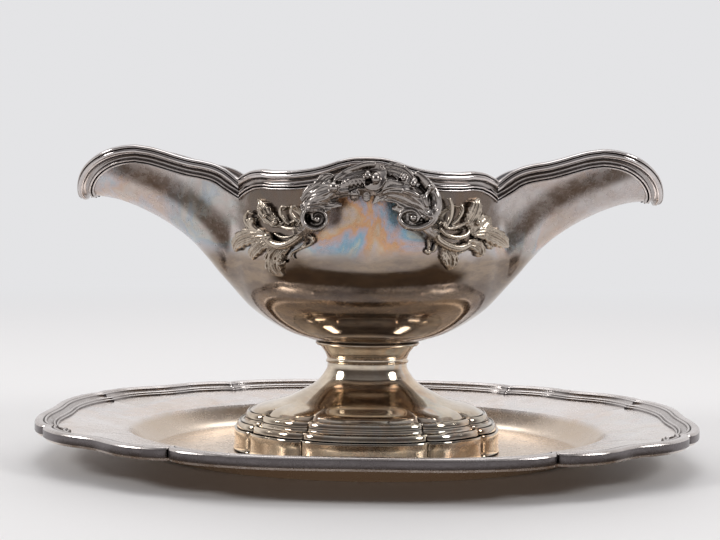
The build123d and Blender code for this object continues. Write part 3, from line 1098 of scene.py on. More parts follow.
# ------------------------------------------------------------------ bowl
@dataclass
class BowlForm:
    """The bowl's outer surface as a field: below zero inside, above zero outside.

    Heights are over the boat's own base, lengths in millimetres.

    Attributes:
        tip: half length of the bare bowl.
        top: height over every edge.
        bottom: height of the flat bottom.
        soft: width of the rounding in the creases between belly and channels.
        belly_length: the belly's half length at a height.
        belly_width: the belly's half width at a height.
        keel: height of a channel's underside at a distance from the middle.
        channel: half width of a channel at that distance.
        nose: where a channel starts to round off.
    """

    tip: float = 112.3
    top: float = 124.4
    bottom: float = 42.0
    soft: float = 2.6
    belly_length: Line = field(default_factory=lambda: smooth_line([
        (42.0, 20.6), (43.2, 24.6), (45.0, 30.0), (48.0, 35.8), (52.0, 41.6), (57.0, 47.0), (63.0, 51.0),
        (72.0, 54.0), (84.0, 55.6), (96.0, 56.0), (124.4, 55.6)]))
    belly_width: Line = field(default_factory=lambda: smooth_line([
        (42.0, 16.2), (43.2, 19.6), (45.0, 24.0), (48.0, 29.0), (52.0, 33.8), (57.0, 38.4), (63.0, 41.8),
        (72.0, 44.6), (84.0, 46.2), (96.0, 46.5), (124.4, 46.3)]))
    keel: Line = field(default_factory=lambda: smooth_line([
        (0.0, 50.0), (30.0, 51.0), (42.0, 54.0), (52.0, 61.6), (57.7, 67.6), (63.0, 74.0), (68.2, 79.6),
        (73.5, 84.0), (81.3, 89.0), (88.0, 92.4), (94.4, 95.0), (100.0, 96.6), (106.0, 97.4), (112.3, 97.8)]))
    channel: Line = field(default_factory=lambda: smooth_line([
        (0.0, 22.0), (40.0, 25.6), (60.0, 25.8), (76.0, 25.0), (90.0, 24.2), (112.3, 23.4)]))
    nose: float = 88.0

    def half_width(self, x: Array) -> Array:
        """Find the half width of a channel, rounded off at its blunt nose.

        Args:
            x: distance from the middle.

        Returns:
            The half width.
        """
        past = np.clip((x - self.nose) / (self.tip - self.nose), 0.0, 1.0)
        return np.maximum(self.channel(x) * np.maximum(1 - past ** 2.9, 0) ** (1 / 2.6), 0.05)

    def value(self, points: Array) -> Array:
        """Evaluate the field.

        Args:
            points: (..., 3) places.

        Returns:
            The field at each.
        """
        x, y, z = np.abs(points[..., 0]), np.abs(points[..., 1]), points[..., 2]
        length, width = self.belly_length(z), self.belly_width(z)
        reach = np.sqrt((x / length) ** 2 + (y / width) ** 2)
        belly = (reach - 1) * width
        half = self.half_width(x)
        drop = np.maximum(self.top - z, 0) / (self.top - self.keel(x))
        trough = ((y / half) ** 2.15 + drop ** 2.15) ** (1 / 2.15)
        channel = (trough - 1) * np.minimum(half, 24.0)
        blend = np.clip(self.soft - np.abs(belly - channel), 0, None) / self.soft
        both = np.minimum(belly, channel) - blend ** 2 * self.soft / 4
        return np.maximum(both, self.bottom - z)

    def slope(self, points: Array, step: float = 0.05) -> Array:
        """Measure how the field rises along each axis.

        Args:
            points: (..., 3) places.
            step: distance to each side that it is measured over.

        Returns:
            (..., 3) slopes.
        """
        slopes = []
        for axis in range(3):
            shift = np.zeros(3)
            shift[axis] = step
            slopes.append((self.value(points + shift) - self.value(points - shift)) / (2 * step))
        return np.stack(slopes, -1)

    def normal(self, points: Array) -> Array:
        """Give the outward unit normal of the field's level through each point."""
        return unit(self.slope(points))

    def settle(self, points: Array, rounds: int = 6) -> Array:
        """Move points onto the surface along the field's slope.

        Args:
            points: (..., 3) places near it.
            rounds: number of corrections.

        Returns:
            The settled places.
        """
        for _ in range(rounds):
            slope = self.slope(points)
            size = np.maximum((slope ** 2).sum(-1, keepdims=True), 0.02)
            move = self.value(points)[..., None] * slope / size
            points = points - np.clip(move, -3, 3)
        return points

    def along_ray(self, azimuth: Array, tilt: Array, offset: float = 0.0) -> Array:
        """Find the surface from the middle of the mouth.

        Args:
            azimuth: direction in plan, in radians.
            tilt: angle over the horizon, in radians.
            offset: level of the field to stop at; below zero for the inside of the wall.

        Returns:
            (..., 3) places.
        """
        middle = np.array([0.0, 0.0, 112.0])
        ray = np.stack([np.cos(tilt) * np.cos(azimuth), np.cos(tilt) * np.sin(azimuth), np.sin(tilt)], -1)
        low, high = np.zeros(azimuth.shape), np.full(azimuth.shape, 140.0)
        for _ in range(26):
            mid = (low + high) / 2
            inside = self.value(middle + ray * mid[..., None]) < offset
            low, high = np.where(inside, mid, low), np.where(inside, high, mid)
        return middle + ray * ((low + high) / 2)[..., None]

    def on_line(self, azimuth: Array, line: Line, offset: float = 0.0) -> tuple[Array, Array]:
        """Find where the surface crosses a side-view line, for each azimuth.

        Args:
            azimuth: directions in plan.
            line: height against distance from the middle.
            offset: level of the field.

        Returns:
            The tilt of each crossing and the crossing itself.
        """
        low, high = np.full(azimuth.shape, math.radians(-85)), np.full(azimuth.shape, math.radians(30))
        for _ in range(24):
            mid = (low + high) / 2
            point = self.along_ray(azimuth, mid, offset)
            under = point[..., 2] < line(np.abs(point[..., 0]))
            low, high = np.where(under, mid, low), np.where(under, high, mid)
        tilt = (low + high) / 2
        return tilt, self.along_ray(azimuth, tilt, offset)


@dataclass
class RimLine:
    """Side view of the rim: a bowed middle and two arched lips that meet it at notches.

    Attributes:
        notch: place of the notch.
        peak: place of the lip's crown.
        crown: height of it.
        tip: where the lip's edge turns under.
        turn: height of that turn.
        middle_line: height of the middle's edge at a distance from the middle.
        lip_line: height of the lip's edge up to its crown.
    """

    notch: float = 47.9
    peak: float = 86.6
    crown: float = 116.4
    tip: float = 112.3
    turn: float = 97.9
    middle_line: Line = field(default_factory=lambda: smooth_line([
        (0.0, 111.7), (4.0, 111.6), (9.0, 110.7), (15.0, 108.8), (21.0, 107.5), (28.0, 106.9),
        (33.0, 106.9), (38.0, 107.4), (41.5, 107.1), (44.5, 106.0), (47.9, 104.3), (52.0, 101.8)]))
    lip_line: Line = field(default_factory=lambda: smooth_line([
        (43.0, 101.2), (47.9, 104.3), (50.0, 105.7), (53.0, 107.8), (57.0, 109.6), (61.0, 110.6),
        (66.0, 111.5), (71.0, 112.8), (76.0, 114.3), (81.0, 115.6), (86.6, 116.4)]))

    def middle(self, x: Array) -> Array:
        """Give the height of the middle mount's edge, carried past the notch."""
        return self.middle_line(x)

    def lip(self, x: Array) -> Array:
        """Find the height of the lip's edge, carried past the notch.

        Args:
            x: distance from the middle.

        Returns:
            The height over the base.
        """
        t = np.clip((x - self.peak) / (self.tip - self.peak), 0, 1)
        arch = self.turn + (self.crown - self.turn) * np.sqrt(np.maximum(1 - t * t, 0))
        return np.where(x < self.peak, self.lip_line(x), arch)

    def edge(self, x: Array) -> Array:
        """Give the height of the whole rim."""
        return np.where(x < self.notch, self.middle(x), self.lip(x))


@dataclass
class Bowl:
    """The raised bowl and its four lengths of rim moulding.

    Attributes:
        form: the bowl's surface.
        rim: the rim's side view.
        base: height of the boat's own base.
        wall: thickness of the wall.
        notch_side: distance of a notch from the middle line, to the front or the back.
        past: angle that each mount is carried past its notch before it is cut, in radians.
        stride: step of the walk down the wall.
    """

    form: BowlForm = field(default_factory=BowlForm)
    rim: RimLine = field(default_factory=RimLine)
    base: float = BOAT_BASE
    wall: float = 1.1
    notch_side: float = 25.0
    past: float = 0.10
    stride: float = 0.35

    def build(self) -> None:
        """Build the shell and the rim."""
        self.build_shell()
        turn = math.atan2(self.notch_side, self.rim.notch)
        mounts = (("rim_lip_right", -turn, turn, self.rim.lip),
                  ("rim_lip_left", math.pi - turn, math.pi + turn, self.rim.lip),
                  ("rim_back", turn, math.pi - turn, self.rim.middle),
                  ("rim_front", math.pi + turn, 2 * math.pi - turn, self.rim.middle))
        for node, start, end, line in mounts:
            self.build_mount(node, start - self.past, end + self.past, line)

    def azimuths(self, count: int) -> Array:
        """Spread directions round the bowl, closer together at the noses of the channels."""
        even = np.linspace(0, 2 * np.pi, count, endpoint=False)
        return even - 0.22 * np.sin(2 * even)

    def surface(self, azimuth: Array, rows: int, offset: float, line: Line) -> Array:
        """Lay a grid of points over the surface up to the rim.

        Args:
            azimuth: directions of the columns.
            rows: number of rows.
            offset: level of the field.
            line: height of the rim.

        Returns:
            (rows, columns, 3) places.
        """
        tilt, _ = self.form.on_line(azimuth, line, offset)
        share = np.linspace(0, 1, rows)[:, None]
        bottom = math.radians(-84)
        grid = bottom + (tilt[None, :] - bottom) * (share * 0.55 + 0.45 * (1 - (1 - share) ** 1.8))
        return self.form.along_ray(np.broadcast_to(azimuth, grid.shape), grid, offset)

    def build_shell(self) -> None:
        """Build the bowl's wall, outside and inside."""
        azimuth = self.azimuths(600)
        outside = self.surface(azimuth, 92, 0.0, lambda x: self.rim.edge(x) - 0.7)
        inside = self.surface(azimuth, 70, -self.wall, lambda x: self.rim.edge(x) - 0.7)
        inside[..., 2] = np.maximum(inside[..., 2], self.form.bottom + self.wall)
        rows = np.concatenate([outside, inside[::-1]])
        rows[..., 2] += self.base
        count, around, _ = rows.shape
        floor = self.form.bottom + self.base
        ends = np.array([[0, 0, floor], [0, 0, floor + self.wall]])
        points = np.concatenate([rows.reshape(-1, 3), ends])
        faces = grid_faces(count, around, False, True)
        for c in range(around):
            faces.append((count * around, (c + 1) % around, c))
            last = (count - 1) * around
            faces.append((count * around + 1, last + c, last + (c + 1) % around))
        shell = new_object("raised_bowl", points, faces, 60.0)
        dress(shell, BOWL_SILVER, BOAT_BODY, "bowl_shell")

    def section(self) -> Array:
        """Draw the rim moulding's section.

        Returns:
            (distance down the wall, height off it) points.
        """
        return section_line((1.75, -1.35), [
            Thread(-1.3, -0.9), Thread(-0.45, 0.3), Thread(0.25, 1.15),
            Thread(0.75, 1.55, 0.32), Thread(0.22, 1.30), Thread(0.13, 1.45),
            Thread(1.75, 1.50, 0.62), Thread(0.10, 1.15), Thread(2.05, 0.55, -0.80), Thread(0.10, 0.85),
            Thread(0.72, 0.80, 0.50), Thread(0.24, 0.20), Thread(0.10, 0.45), Thread(0.72, 0.42, 0.48),
            Thread(0.15, -0.15)])

    def walk(self, start: Array, reach: float) -> list[tuple[Array, Array]]:
        """Walk from the rim down over the surface, square to the rim.

        Args:
            start: (n, 3) places along the rim.
            reach: how far to walk.

        Returns:
            (places, normals) after each stride, the start included.
        """
        along = unit(np.gradient(start, axis=0))
        normal = self.form.normal(start)
        down = unit(np.cross(along, normal))
        down *= np.sign(np.where(down[:, 2:3] == 0, -1, -down[:, 2:3]))
        places = [(start, normal)]
        point = start
        for _ in range(int(math.ceil(reach / self.stride))):
            point = self.form.settle(point + down * self.stride, 4)
            normal = self.form.normal(point)
            down = unit(down - normal * (down * normal).sum(-1, keepdims=True))
            places.append((point, normal))
        return places

    def build_mount(self, node: str, start: float, end: float, line: Line) -> None:
        """Build one length of the rim moulding and cut it at its notches.

        Args:
            node: the CAD node it stands for.
            start: azimuth where it starts, past the notch.
            end: azimuth where it ends, past the notch.
            line: height of its edge.
        """
        azimuth = np.linspace(start, end, 1200)
        _, rim = self.form.on_line(azimuth, line)
        run = np.concatenate([[0], np.cumsum(np.linalg.norm(np.diff(rim, axis=0), axis=1))])
        even = np.linspace(0, run[-1], int(run[-1] / 0.8))
        azimuth = np.interp(even, run, azimuth)
        _, rim = self.form.on_line(azimuth, line)
        section = self.section()
        step = self.stride
        strides = self.walk(rim, float(section[:, 0].max()) + step)
        up = strides[0][0] - (strides[1][0] - strides[0][0])
        strides.insert(0, (up, strides[0][1]))
        places = np.stack([s[0] for s in strides])
        normals = np.stack([s[1] for s in strides])
        lines = []
        for across, height in section:
            stride = np.clip(across / step + 1, 0, len(strides) - 1.001)
            k, t = int(stride), stride - int(stride)
            spot = places[k] * (1 - t) + places[k + 1] * t
            facing = unit(normals[k] * (1 - t) + normals[k + 1] * t)
            if across < -step:
                spot = spot + (places[0] - places[1]) * (-across / step - 1)
            lines.append(spot + facing * height)
        sections = np.stack(lines, axis=1)
        sections[..., 2] += self.base
        piece = bar_mesh(node + "_moulding", sections, 42.0)
        if line == self.rim.lip:
            side = 1.0 if "right" in node else -1.0
            cut_away(piece, side * self.rim.notch, -side)
        else:
            cut_away(piece, self.rim.notch, 1.0)
            cut_away(piece, -self.rim.notch, -1.0)
        dress(piece, MOULDING_SILVER, BOAT_BODY, node)


def cut_away(piece: bpy.types.Object, place: float, side: float) -> None:
    """Cut a piece with an upright plane across the boat and close the cut.

    Args:
        piece: the mesh object.
        place: where the plane crosses the X axis, in millimetres.
        side: 1 to take away what lies beyond it, -1 to take away what lies before it.
    """
    work = bmesh.new()
    work.from_mesh(piece.data)
    result = bmesh.ops.bisect_plane(work, geom=work.verts[:] + work.edges[:] + work.faces[:],
                                    plane_co=(place * MM, 0, 0), plane_no=(side, 0, 0), clear_outer=True)
    edges = [g for g in result["geom_cut"] if isinstance(g, bmesh.types.BMEdge)]
    bmesh.ops.holes_fill(work, edges=[e for e in edges if e.is_valid and e.is_boundary], sides=0)
    work.to_mesh(piece.data)
    work.free()
    tidy_mesh(piece, 42.0)


# ------------------------------------------------------------------ cast ornament
def curve(knots: Sequence[Sequence[float]], count: int) -> Array:
    """Draw a smooth line through points.

    Args:
        knots: the points, of any dimension.
        count: number of points to give back.

    Returns:
        (count, n) points spaced evenly by chord.
    """
    spots = np.array(knots, float)
    if len(spots) == 2:
        return spots[0] + (spots[1] - spots[0]) * np.linspace(0, 1, count)[:, None]
    place = np.concatenate([[0], np.cumsum(np.sqrt(np.linalg.norm(np.diff(spots, axis=0), axis=1)) + 1e-6)])
    slope = np.gradient(spots, place, axis=0)
    at = np.linspace(0, place[-1], count * 6)
    i = np.clip(np.searchsorted(place, at, side="right") - 1, 0, len(place) - 2)
    gap = (place[i + 1] - place[i])[:, None]
    t = (at - place[i])[:, None] / gap
    fine = (spots[i] * (1 + 2 * t) * (1 - t) ** 2 + slope[i] * gap * t * (1 - t) ** 2
            + spots[i + 1] * t * t * (3 - 2 * t) + slope[i + 1] * gap * t * t * (t - 1))
    run = np.concatenate([[0], np.cumsum(np.linalg.norm(np.diff(fine, axis=0), axis=1))])
    even = np.linspace(0, run[-1], count)
    return np.stack([np.interp(even, run, fine[:, k]) for k in range(fine.shape[1])], -1)


def spread(values: Sequence[float], count: int) -> Array:
    """Spread values evenly along a line and ease between them.

    Args:
        values: the values from start to end.
        count: number of values to give back.

    Returns:
        The eased values.
    """
    line = smooth_line(list(zip(np.linspace(0, 1, len(values)), values)))
    return line(np.linspace(0, 1, count))


@dataclass(frozen=True)
class Rib:
    """A rounded rib laid over the ground.

    Attributes:
        path: (x, z) points along it.
        radii: its radius from start to end.
        lifts: height of its middle over the ground, from start to end.
        deep: depth of its section as a multiple of its width.
    """

    path: tuple[Pair, ...]
    radii: tuple[float, ...]
    lifts: tuple[float, ...]
    deep: float = 1.0

    def rows(self) -> Array:
        """Lay out the rib's sections.

        Returns:
            (sections, around, 3) array of x, z and height.
        """
        count = max(14, int(len(self.path) * 9))
        line = curve(self.path, count)
        along = unit(np.gradient(line, axis=0))
        side = np.stack([-along[:, 1], along[:, 0]], -1)
        radius = spread(self.radii, count)
        end = np.linspace(0, 1, count)
        cap = np.sqrt(np.clip(1 - (1 - np.minimum(end, 1 - end) * count / 3).clip(0) ** 2, 0.04, 1))
        radius = radius * cap
        lift = spread(self.lifts, count)
        angle = np.linspace(0, 2 * np.pi, 14, endpoint=False)
        flat = line[:, None, :] + side[:, None, :] * (radius[:, None] * np.cos(angle))[..., None]
        height = lift[:, None] + radius[:, None] * np.sin(angle) * self.deep
        return np.concatenate([flat, height[..., None]], -1)


@dataclass(frozen=True)
class Blade:
    """An acanthus blade: midrib, swept veins, toothed edge and a rolled tip.

    Attributes:
        path: (x, z) points of the midrib.
        widths: half width from root to tip.
        lifts: height of the midrib over the ground, from root to tip.
        teeth: number of lobes along each edge; none leaves it smooth and hollow.
        camber: how far it arches across, as a share of its half width.
        toothed_width: how much wider a toothed blade spreads.
        toothed_lift: how much of its lift a toothed blade keeps.
    """

    path: tuple[Pair, ...]
    widths: tuple[float, ...]
    lifts: tuple[float, ...]
    teeth: int
    camber: float = 0.42
    toothed_width: float = 1.28
    toothed_lift: float = 0.72

    def rows(self) -> Array:
        """Lay out the blade's closed sections.

        Returns:
            (sections, around, 3) array of x, z and height.
        """
        count, across = 60, 23
        line = curve(self.path, count)
        along = unit(np.gradient(line, axis=0))
        side = np.stack([-along[:, 1], along[:, 0]], -1)
        s = np.linspace(0, 1, count)[:, None]
        u = np.linspace(-1, 1, across)[None, :]
        width = spread(self.widths, count)[:, None] * (self.toothed_width if self.teeth else 1.0)
        lift = spread(self.lifts, count)[:, None] * (self.toothed_lift if self.teeth else 1.0)
        reach = np.abs(u)
        if self.teeth:
            tooth = (self.teeth * s - 0.55 * reach + 0.4) % 1.0
            edge = (self.teeth * s - 0.15) % 1.0
            spread_out = u * width * (1 - 0.26 * (1 - edge) ** 1.3 * reach ** 2)
            puff = 0.07 * width * np.sin(np.pi * tooth) * reach * (1.25 - reach)
            flute = 0.15 * np.minimum(width, 1.8) * np.cos(2 * np.pi * 2.1 * reach) * (1 - 0.5 * reach)
            top = lift + self.camber * width * (0.2 - 0.55 * (reach - 0.35) ** 2) + puff - flute
        else:
            spread_out = u * width
            top = lift - 0.24 * width * (1 - reach ** 2) + 0.10 * width * reach ** 6
        thick = (0.55 + 1.1 * (1 - s)) * (0.45 + 0.55 * (1 - reach ** 2))
        under = np.minimum(top - thick, np.maximum(top - 2.6, -0.8))
        flat = line[:, None, :] + side[:, None, :] * spread_out[..., None]
        upper = np.concatenate([flat, top[..., None]], -1)
        lower = np.concatenate([flat, under[..., None]], -1)
        return np.concatenate([upper, lower[:, ::-1]], axis=1)


@dataclass(frozen=True)
class Ball:
    """A round bead.

    Attributes:
        place: its x and z.
        radius: its radius.
        lift: height of its middle over the ground.
    """

    place: Pair
    radius: float
    lift: float

    def rows(self) -> Array:
        """Lay out the bead's rings.

        Returns:
            (sections, around, 3) array of x, z and height.
        """
        turn = np.linspace(-0.49 * np.pi, 0.49 * np.pi, 12)
        angle = np.linspace(0, 2 * np.pi, 18, endpoint=False)
        flat = self.radius * np.cos(turn)[:, None]
        x = self.place[0] + flat * np.cos(angle)
        z = self.place[1] + flat * np.sin(angle)
        height = np.broadcast_to(self.lift + self.radius * np.sin(turn)[:, None], x.shape)
        return np.stack([x, z, height], -1)


Part = Rib | Blade | Ball


@dataclass
class Casting:
    """A cast ornament: many overlapping solids melted into one skin.

    Attributes:
        name: name of the piece.
        grain: size of the finest detail kept, in millimetres.
        points: places collected so far.
        faces: faces collected so far.
        count: number of places so far.
    """

    name: str
    grain: float = 0.34
    points: list[Array] = field(default_factory=list)
    faces: list[Face] = field(default_factory=list)
    count: int = 0

    def add_rows(self, rows: Array) -> None:
        """Add a solid given as closed sections in space.

        Args:
            rows: (n, m, 3) places.
        """
        sections, around, _ = rows.shape
        self.faces += grid_faces(sections, around, False, True, self.count)
        self.faces.append(tuple(range(self.count, self.count + around)))
        last = self.count + (sections - 1) * around
        self.faces.append(tuple(range(last, last + around)))
        self.points.append(rows.reshape(-1, 3))
        self.count += sections * around

    def lay(self, parts: Sequence[Part], ground: Ground) -> None:
        """Lay flat parts over a ground.

        Args:
            parts: the ribs, blades and beads.
            ground: gives the place and the outward normal over an x and z.
        """
        for part in parts:
            rows = part.rows()
            place, normal = ground(rows[..., 0], rows[..., 1])
            self.add_rows(place + normal * rows[..., 2:3])

    def turned(self, name: str) -> "Casting":
        """Copy the casting, turned half round the upright axis.

        Args:
            name: name of the copy.

        Returns:
            The copy.
        """
        flip = np.array([-1.0, -1.0, 1.0])
        points = [places * flip for places in self.points]
        return Casting(name, self.grain, points, list(self.faces), self.count)

    def build(self, node: str, finish: SilverFinish) -> None:
        """Melt the solids into one skin and dress it.

        Args:
            node: the CAD node it stands for.
            finish: what its surface is.
        """
        rough = new_object(self.name + "_rough", np.concatenate(self.points), self.faces)
        melt = rough.modifiers.new("melt", "REMESH")
        melt.mode = "VOXEL"
        melt.voxel_size = self.grain * MM
        melt.use_smooth_shade = True
        ease_off = rough.modifiers.new("ease", "SMOOTH")
        ease_off.factor, ease_off.iterations = 0.5, 2
        bpy.context.view_layer.update()
        skin = bpy.data.meshes.new_from_object(rough.evaluated_get(bpy.context.evaluated_depsgraph_get()))
        skin.name = self.name
        bpy.data.objects.remove(rough)
        piece = bpy.data.objects.new(self.name, skin)
        bpy.context.collection.objects.link(piece)
        skin.shade_smooth()
        dress(piece, finish, BOAT_BODY, node)


LEFT_MOUNT: tuple[Part, ...] = (
    Rib(((-40.9, 90.7), (-42.5, 91.9), (-43.6, 90.4), (-43.5, 88.6), (-42.2, 86.8), (-39.7, 85.2),
         (-37.2, 84), (-35.5, 83.3)), (0.5, 0.75, 0.8, 0.8, 0.8, 0.7, 0.6, 0.5),
         (1.0, 1.6, 1.8, 1.8, 1.6, 1.4, 1.2, 1.0)),
    Ball((-41.5, 88.9), 1.25, 1.6),
    Rib(((-41.5, 88.9), (-40.8, 86.8), (-39, 85.2), (-36.5, 84)), (1.1, 0.9, 0.7, 0.5),
         (1.6, 1.6, 1.4, 1.2)),
    Rib(((-34.7, 83), (-33.7, 81.4), (-30.8, 80.2), (-27.3, 80.6), (-24.1, 82.4), (-21.9, 84.2),
         (-21.2, 86.3)), (1.5, 1.4, 1.4, 1.35, 1.3, 1.2, 1.2), (2.0, 2.4, 2.8, 3.0, 3.2, 3.6, 4.2)),
    Ball((-34.7, 83), 1.7, 2.1),
    Blade(((-40.1, 90), (-37.3, 86.2), (-32.3, 83.7), (-26.9, 84.1), (-23, 86.7), (-21.3, 88.8)),
         (1.8, 4.0, 4.8, 4.8, 3.6, 2.0), (0.6, 0.5, 0.5, 0.7, 1.5, 2.8), 0),
    Rib(((-30.2, 86.9), (-27.3, 86.1), (-24.5, 86.3), (-22.7, 87.7), (-21.6, 89.5)),
         (0.5, 0.6, 0.65, 0.7, 0.8), (1.8, 2.2, 2.6, 3.4, 4.2)),
    Rib(((-33, 84.4), (-30.1, 83), (-26.9, 83.1), (-24.1, 84.5)), (0.4, 0.5, 0.5, 0.4),
         (1.4, 1.6, 1.8, 2.4)),
    Blade(((-30.2, 86.9), (-32.7, 88.3), (-34.8, 90.1), (-36.6, 92.9), (-38, 95.4), (-39.1, 96.4)),
         (0.9, 1.7, 2.1, 2.2, 1.4, 0.3), (1.2, 2.4, 3.2, 3.4, 3.2, 2.4), 5),
    Ball((-31.8, 88.2), 1.2, 2.6),
    Ball((-34.6, 90.5), 0.9, 4.2),
    Ball((-35.9, 93.1), 0.7, 4.2),
    Rib(((-27, 87.3), (-28.7, 89.1), (-29.9, 91.6), (-29.5, 93.5), (-28.4, 94.1), (-27.7, 93.2)),
         (0.5, 0.6, 0.6, 0.6, 0.55, 0.4), (1.6, 1.8, 2.2, 2.6, 2.8, 2.2)),
    Rib(((-23.4, 88.1), (-25, 90.2), (-25.9, 92.1), (-25.3, 93.8), (-24.2, 94.1)),
         (0.5, 0.6, 0.6, 0.6, 0.4), (2.2, 2.4, 2.8, 3.0, 2.6)),
    Blade(((-21.6, 87.4), (-24.5, 89.8), (-27.7, 90.9), (-30.5, 91.2)), (2.0, 3.4, 3.6, 1.6),
         (1.2, 0.8, 0.6, 0.3), 0),
    Blade(((-35.5, 83.3), (-38.7, 83.6), (-42.6, 82.9), (-46.1, 81.4), (-48.1, 79.3), (-48.6, 77)),
         (1.0, 2.0, 2.7, 2.7, 1.9, 0.3), (1.6, 2.4, 3.0, 3.4, 3.0, 1.6), 6),
    Blade(((-36.5, 83.8), (-40.8, 85), (-43.7, 86.3), (-45.1, 86.8)), (0.8, 1.3, 1.4, 0.3),
         (1.0, 1.6, 1.6, 0.8), 4),
    Blade(((-35.1, 81.5), (-37.6, 80.1), (-39.7, 78.3), (-41.3, 76.3), (-41.9, 74.2)),
         (0.8, 1.6, 1.9, 1.6, 0.3), (1.6, 2.4, 2.8, 2.6, 1.2), 4),
    Rib(((-31.5, 79.4), (-35.4, 79.4), (-37.2, 78.3), (-37.7, 77.2)), (0.5, 0.6, 0.5, 0.35),
         (1.6, 1.6, 1.4, 1.0)),
    Blade(((-28.7, 80.2), (-31.2, 78.4), (-32.7, 75.9), (-32.7, 72.6), (-31.4, 70.2), (-29.8, 68.9)),
         (0.9, 2.0, 2.7, 2.6, 1.7, 0.3), (2.0, 3.0, 3.6, 3.6, 3.0, 1.4), 6),
    Rib(((-28.3, 78.8), (-30.1, 77), (-30.4, 74.5), (-29.3, 73.6), (-28.6, 74.8)),
         (0.5, 0.55, 0.5, 0.5, 0.4), (1.6, 1.8, 1.6, 1.6, 1.4)),
    Rib(((-28.7, 79.8), (-26.9, 79.5), (-28.7, 77.3), (-29.2, 75.9)), (0.5, 0.5, 0.5, 0.3),
         (2.0, 1.8, 1.6, 1.2)),
    Rib(((-21.2, 83.8), (-19.1, 83.1), (-18.5, 81.7), (-20.1, 80.3), (-23.7, 78.8), (-26, 77.4),
         (-26.4, 75.7), (-25.5, 74.9)), (0.7, 0.6, 0.55, 0.5, 0.5, 0.5, 0.5, 0.4),
         (3.0, 2.4, 2.0, 1.6, 1.4, 1.4, 1.4, 1.2)),
    Rib(((-21.6, 83.8), (-20.9, 82.4), (-21.4, 81), (-23.3, 79.5)), (0.5, 0.5, 0.45, 0.3),
         (2.6, 2.0, 1.6, 1.2)),
)

RIGHT_MOUNT: tuple[Part, ...] = (
    Rib(((22.7, 86.1), (24.5, 82.9), (27.8, 80.8), (31.4, 79.9), (34.2, 80.5), (36.4, 81.4)),
         (1.2, 1.3, 1.4, 1.4, 1.2, 0.8), (3.8, 3.0, 2.8, 2.6, 2.4, 2.0)),
    Rib(((24.5, 86.8), (27, 84.7), (30.6, 83.6), (33.5, 84), (35.2, 85.1), (35.8, 86.6)),
         (0.8, 0.85, 0.9, 0.9, 0.8, 0.5), (3.6, 2.8, 2.6, 2.6, 2.4, 2.0)),
    Rib(((25.9, 88.2), (27.7, 86.8), (30.6, 87.2), (33, 88.3), (34.5, 89.1)),
         (0.6, 0.65, 0.65, 0.6, 0.6), (3.2, 2.6, 2.6, 2.6, 2.8)),
    Ball((34.4, 89.2), 0.9, 3.0),
    Blade(((24.8, 87.2), (28.1, 83.6), (32.1, 82.2), (35.6, 83.7), (37.7, 86.6)),
         (2.2, 4.2, 4.8, 4.2, 2.2), (1.6, 0.6, 0.5, 0.5, 0.6), 0),
    Blade(((34.9, 87.3), (36.6, 90.1), (37.6, 93), (38.3, 95.5), (39.2, 97.7)),
         (1.0, 1.9, 2.2, 1.9, 0.4), (1.4, 2.6, 3.4, 3.6, 2.8), 5),
    Ball((38.5, 88.8), 1.1, 2.8),
    Blade(((37.4, 84.8), (39.2, 87), (39.5, 89.1), (38.7, 90.3)), (0.8, 1.3, 1.3, 0.3),
         (1.4, 2.2, 2.6, 2.0), 3),
    Blade(((36.7, 85.1), (39.9, 87), (42.4, 89.1), (44.8, 90.9)), (1.2, 2.6, 3.4, 0.6),
         (1.6, 2.2, 2.4, 1.2), 6),
    Blade(((37.8, 84.4), (41.7, 85), (46, 83.8), (49.3, 82), (52.2, 79.7)), (1.0, 2.2, 2.8, 2.4, 0.3),
         (2.0, 3.2, 3.6, 3.2, 1.2), 6),
    Blade(((41.4, 83), (43.5, 82), (45, 80.2), (43.9, 79.3)), (0.8, 1.5, 1.4, 0.3),
         (1.0, 1.8, 1.8, 1.0), 3),
    Blade(((35.3, 81), (37.8, 80.9), (39.6, 79.8), (40.2, 78), (39.3, 76.5)),
         (0.9, 1.5, 1.9, 1.7, 0.4), (2.0, 2.8, 3.2, 3.0, 1.6), 4),
    Rib(((34.9, 82.3), (37.4, 82.3), (39.6, 81.9)), (0.6, 0.7, 0.4), (2.4, 2.2, 1.8)),
    Blade(((27.1, 81.1), (28.3, 78.6), (29.3, 76.1), (29.5, 73.6), (29.2, 71.7)),
         (0.9, 1.9, 2.5, 2.1, 0.3), (2.0, 2.8, 3.4, 3.2, 1.4), 6),
    Rib(((26, 80), (27.5, 78.6), (27.5, 76.8), (26.1, 75.8)), (0.5, 0.6, 0.6, 0.4), (2.0, 1.8, 1.6, 1.2)),
    Rib(((32.1, 79.7), (32.5, 78.3), (31.4, 77.2)), (0.5, 0.5, 0.3), (2.0, 1.6, 1.2)),
    Rib(((20.7, 86), (21.5, 82.5), (21.9, 79.6)), (0.5, 0.6, 0.6), (2.6, 1.8, 1.4)),
    Rib(((22.7, 85), (24.2, 81.8), (23.9, 79.3), (22.8, 78.3)), (0.5, 0.6, 0.6, 0.5),
         (2.6, 2.0, 1.6, 1.4)),
    Ball((21.5, 78.5), 1.2, 1.2),
    Rib(((27, 87.2), (28.7, 90.4), (29.1, 94), (28.3, 96.8), (27.5, 97.5)), (0.6, 0.7, 0.7, 0.7, 0.6),
         (2.6, 2.4, 2.6, 3.0, 3.0)),
    Rib(((29.1, 87.9), (31.6, 90.4), (32.8, 93.3), (32.6, 95.1), (31.9, 95.4)),
         (0.6, 0.7, 0.7, 0.6, 0.4), (2.2, 2.2, 2.4, 2.6, 2.2)),
    Blade(((25.5, 87.9), (28.7, 90.4), (31.6, 92.2), (34, 93.3)), (2.0, 3.4, 3.4, 1.2),
         (1.2, 0.7, 0.5, 0.3), 0),
)

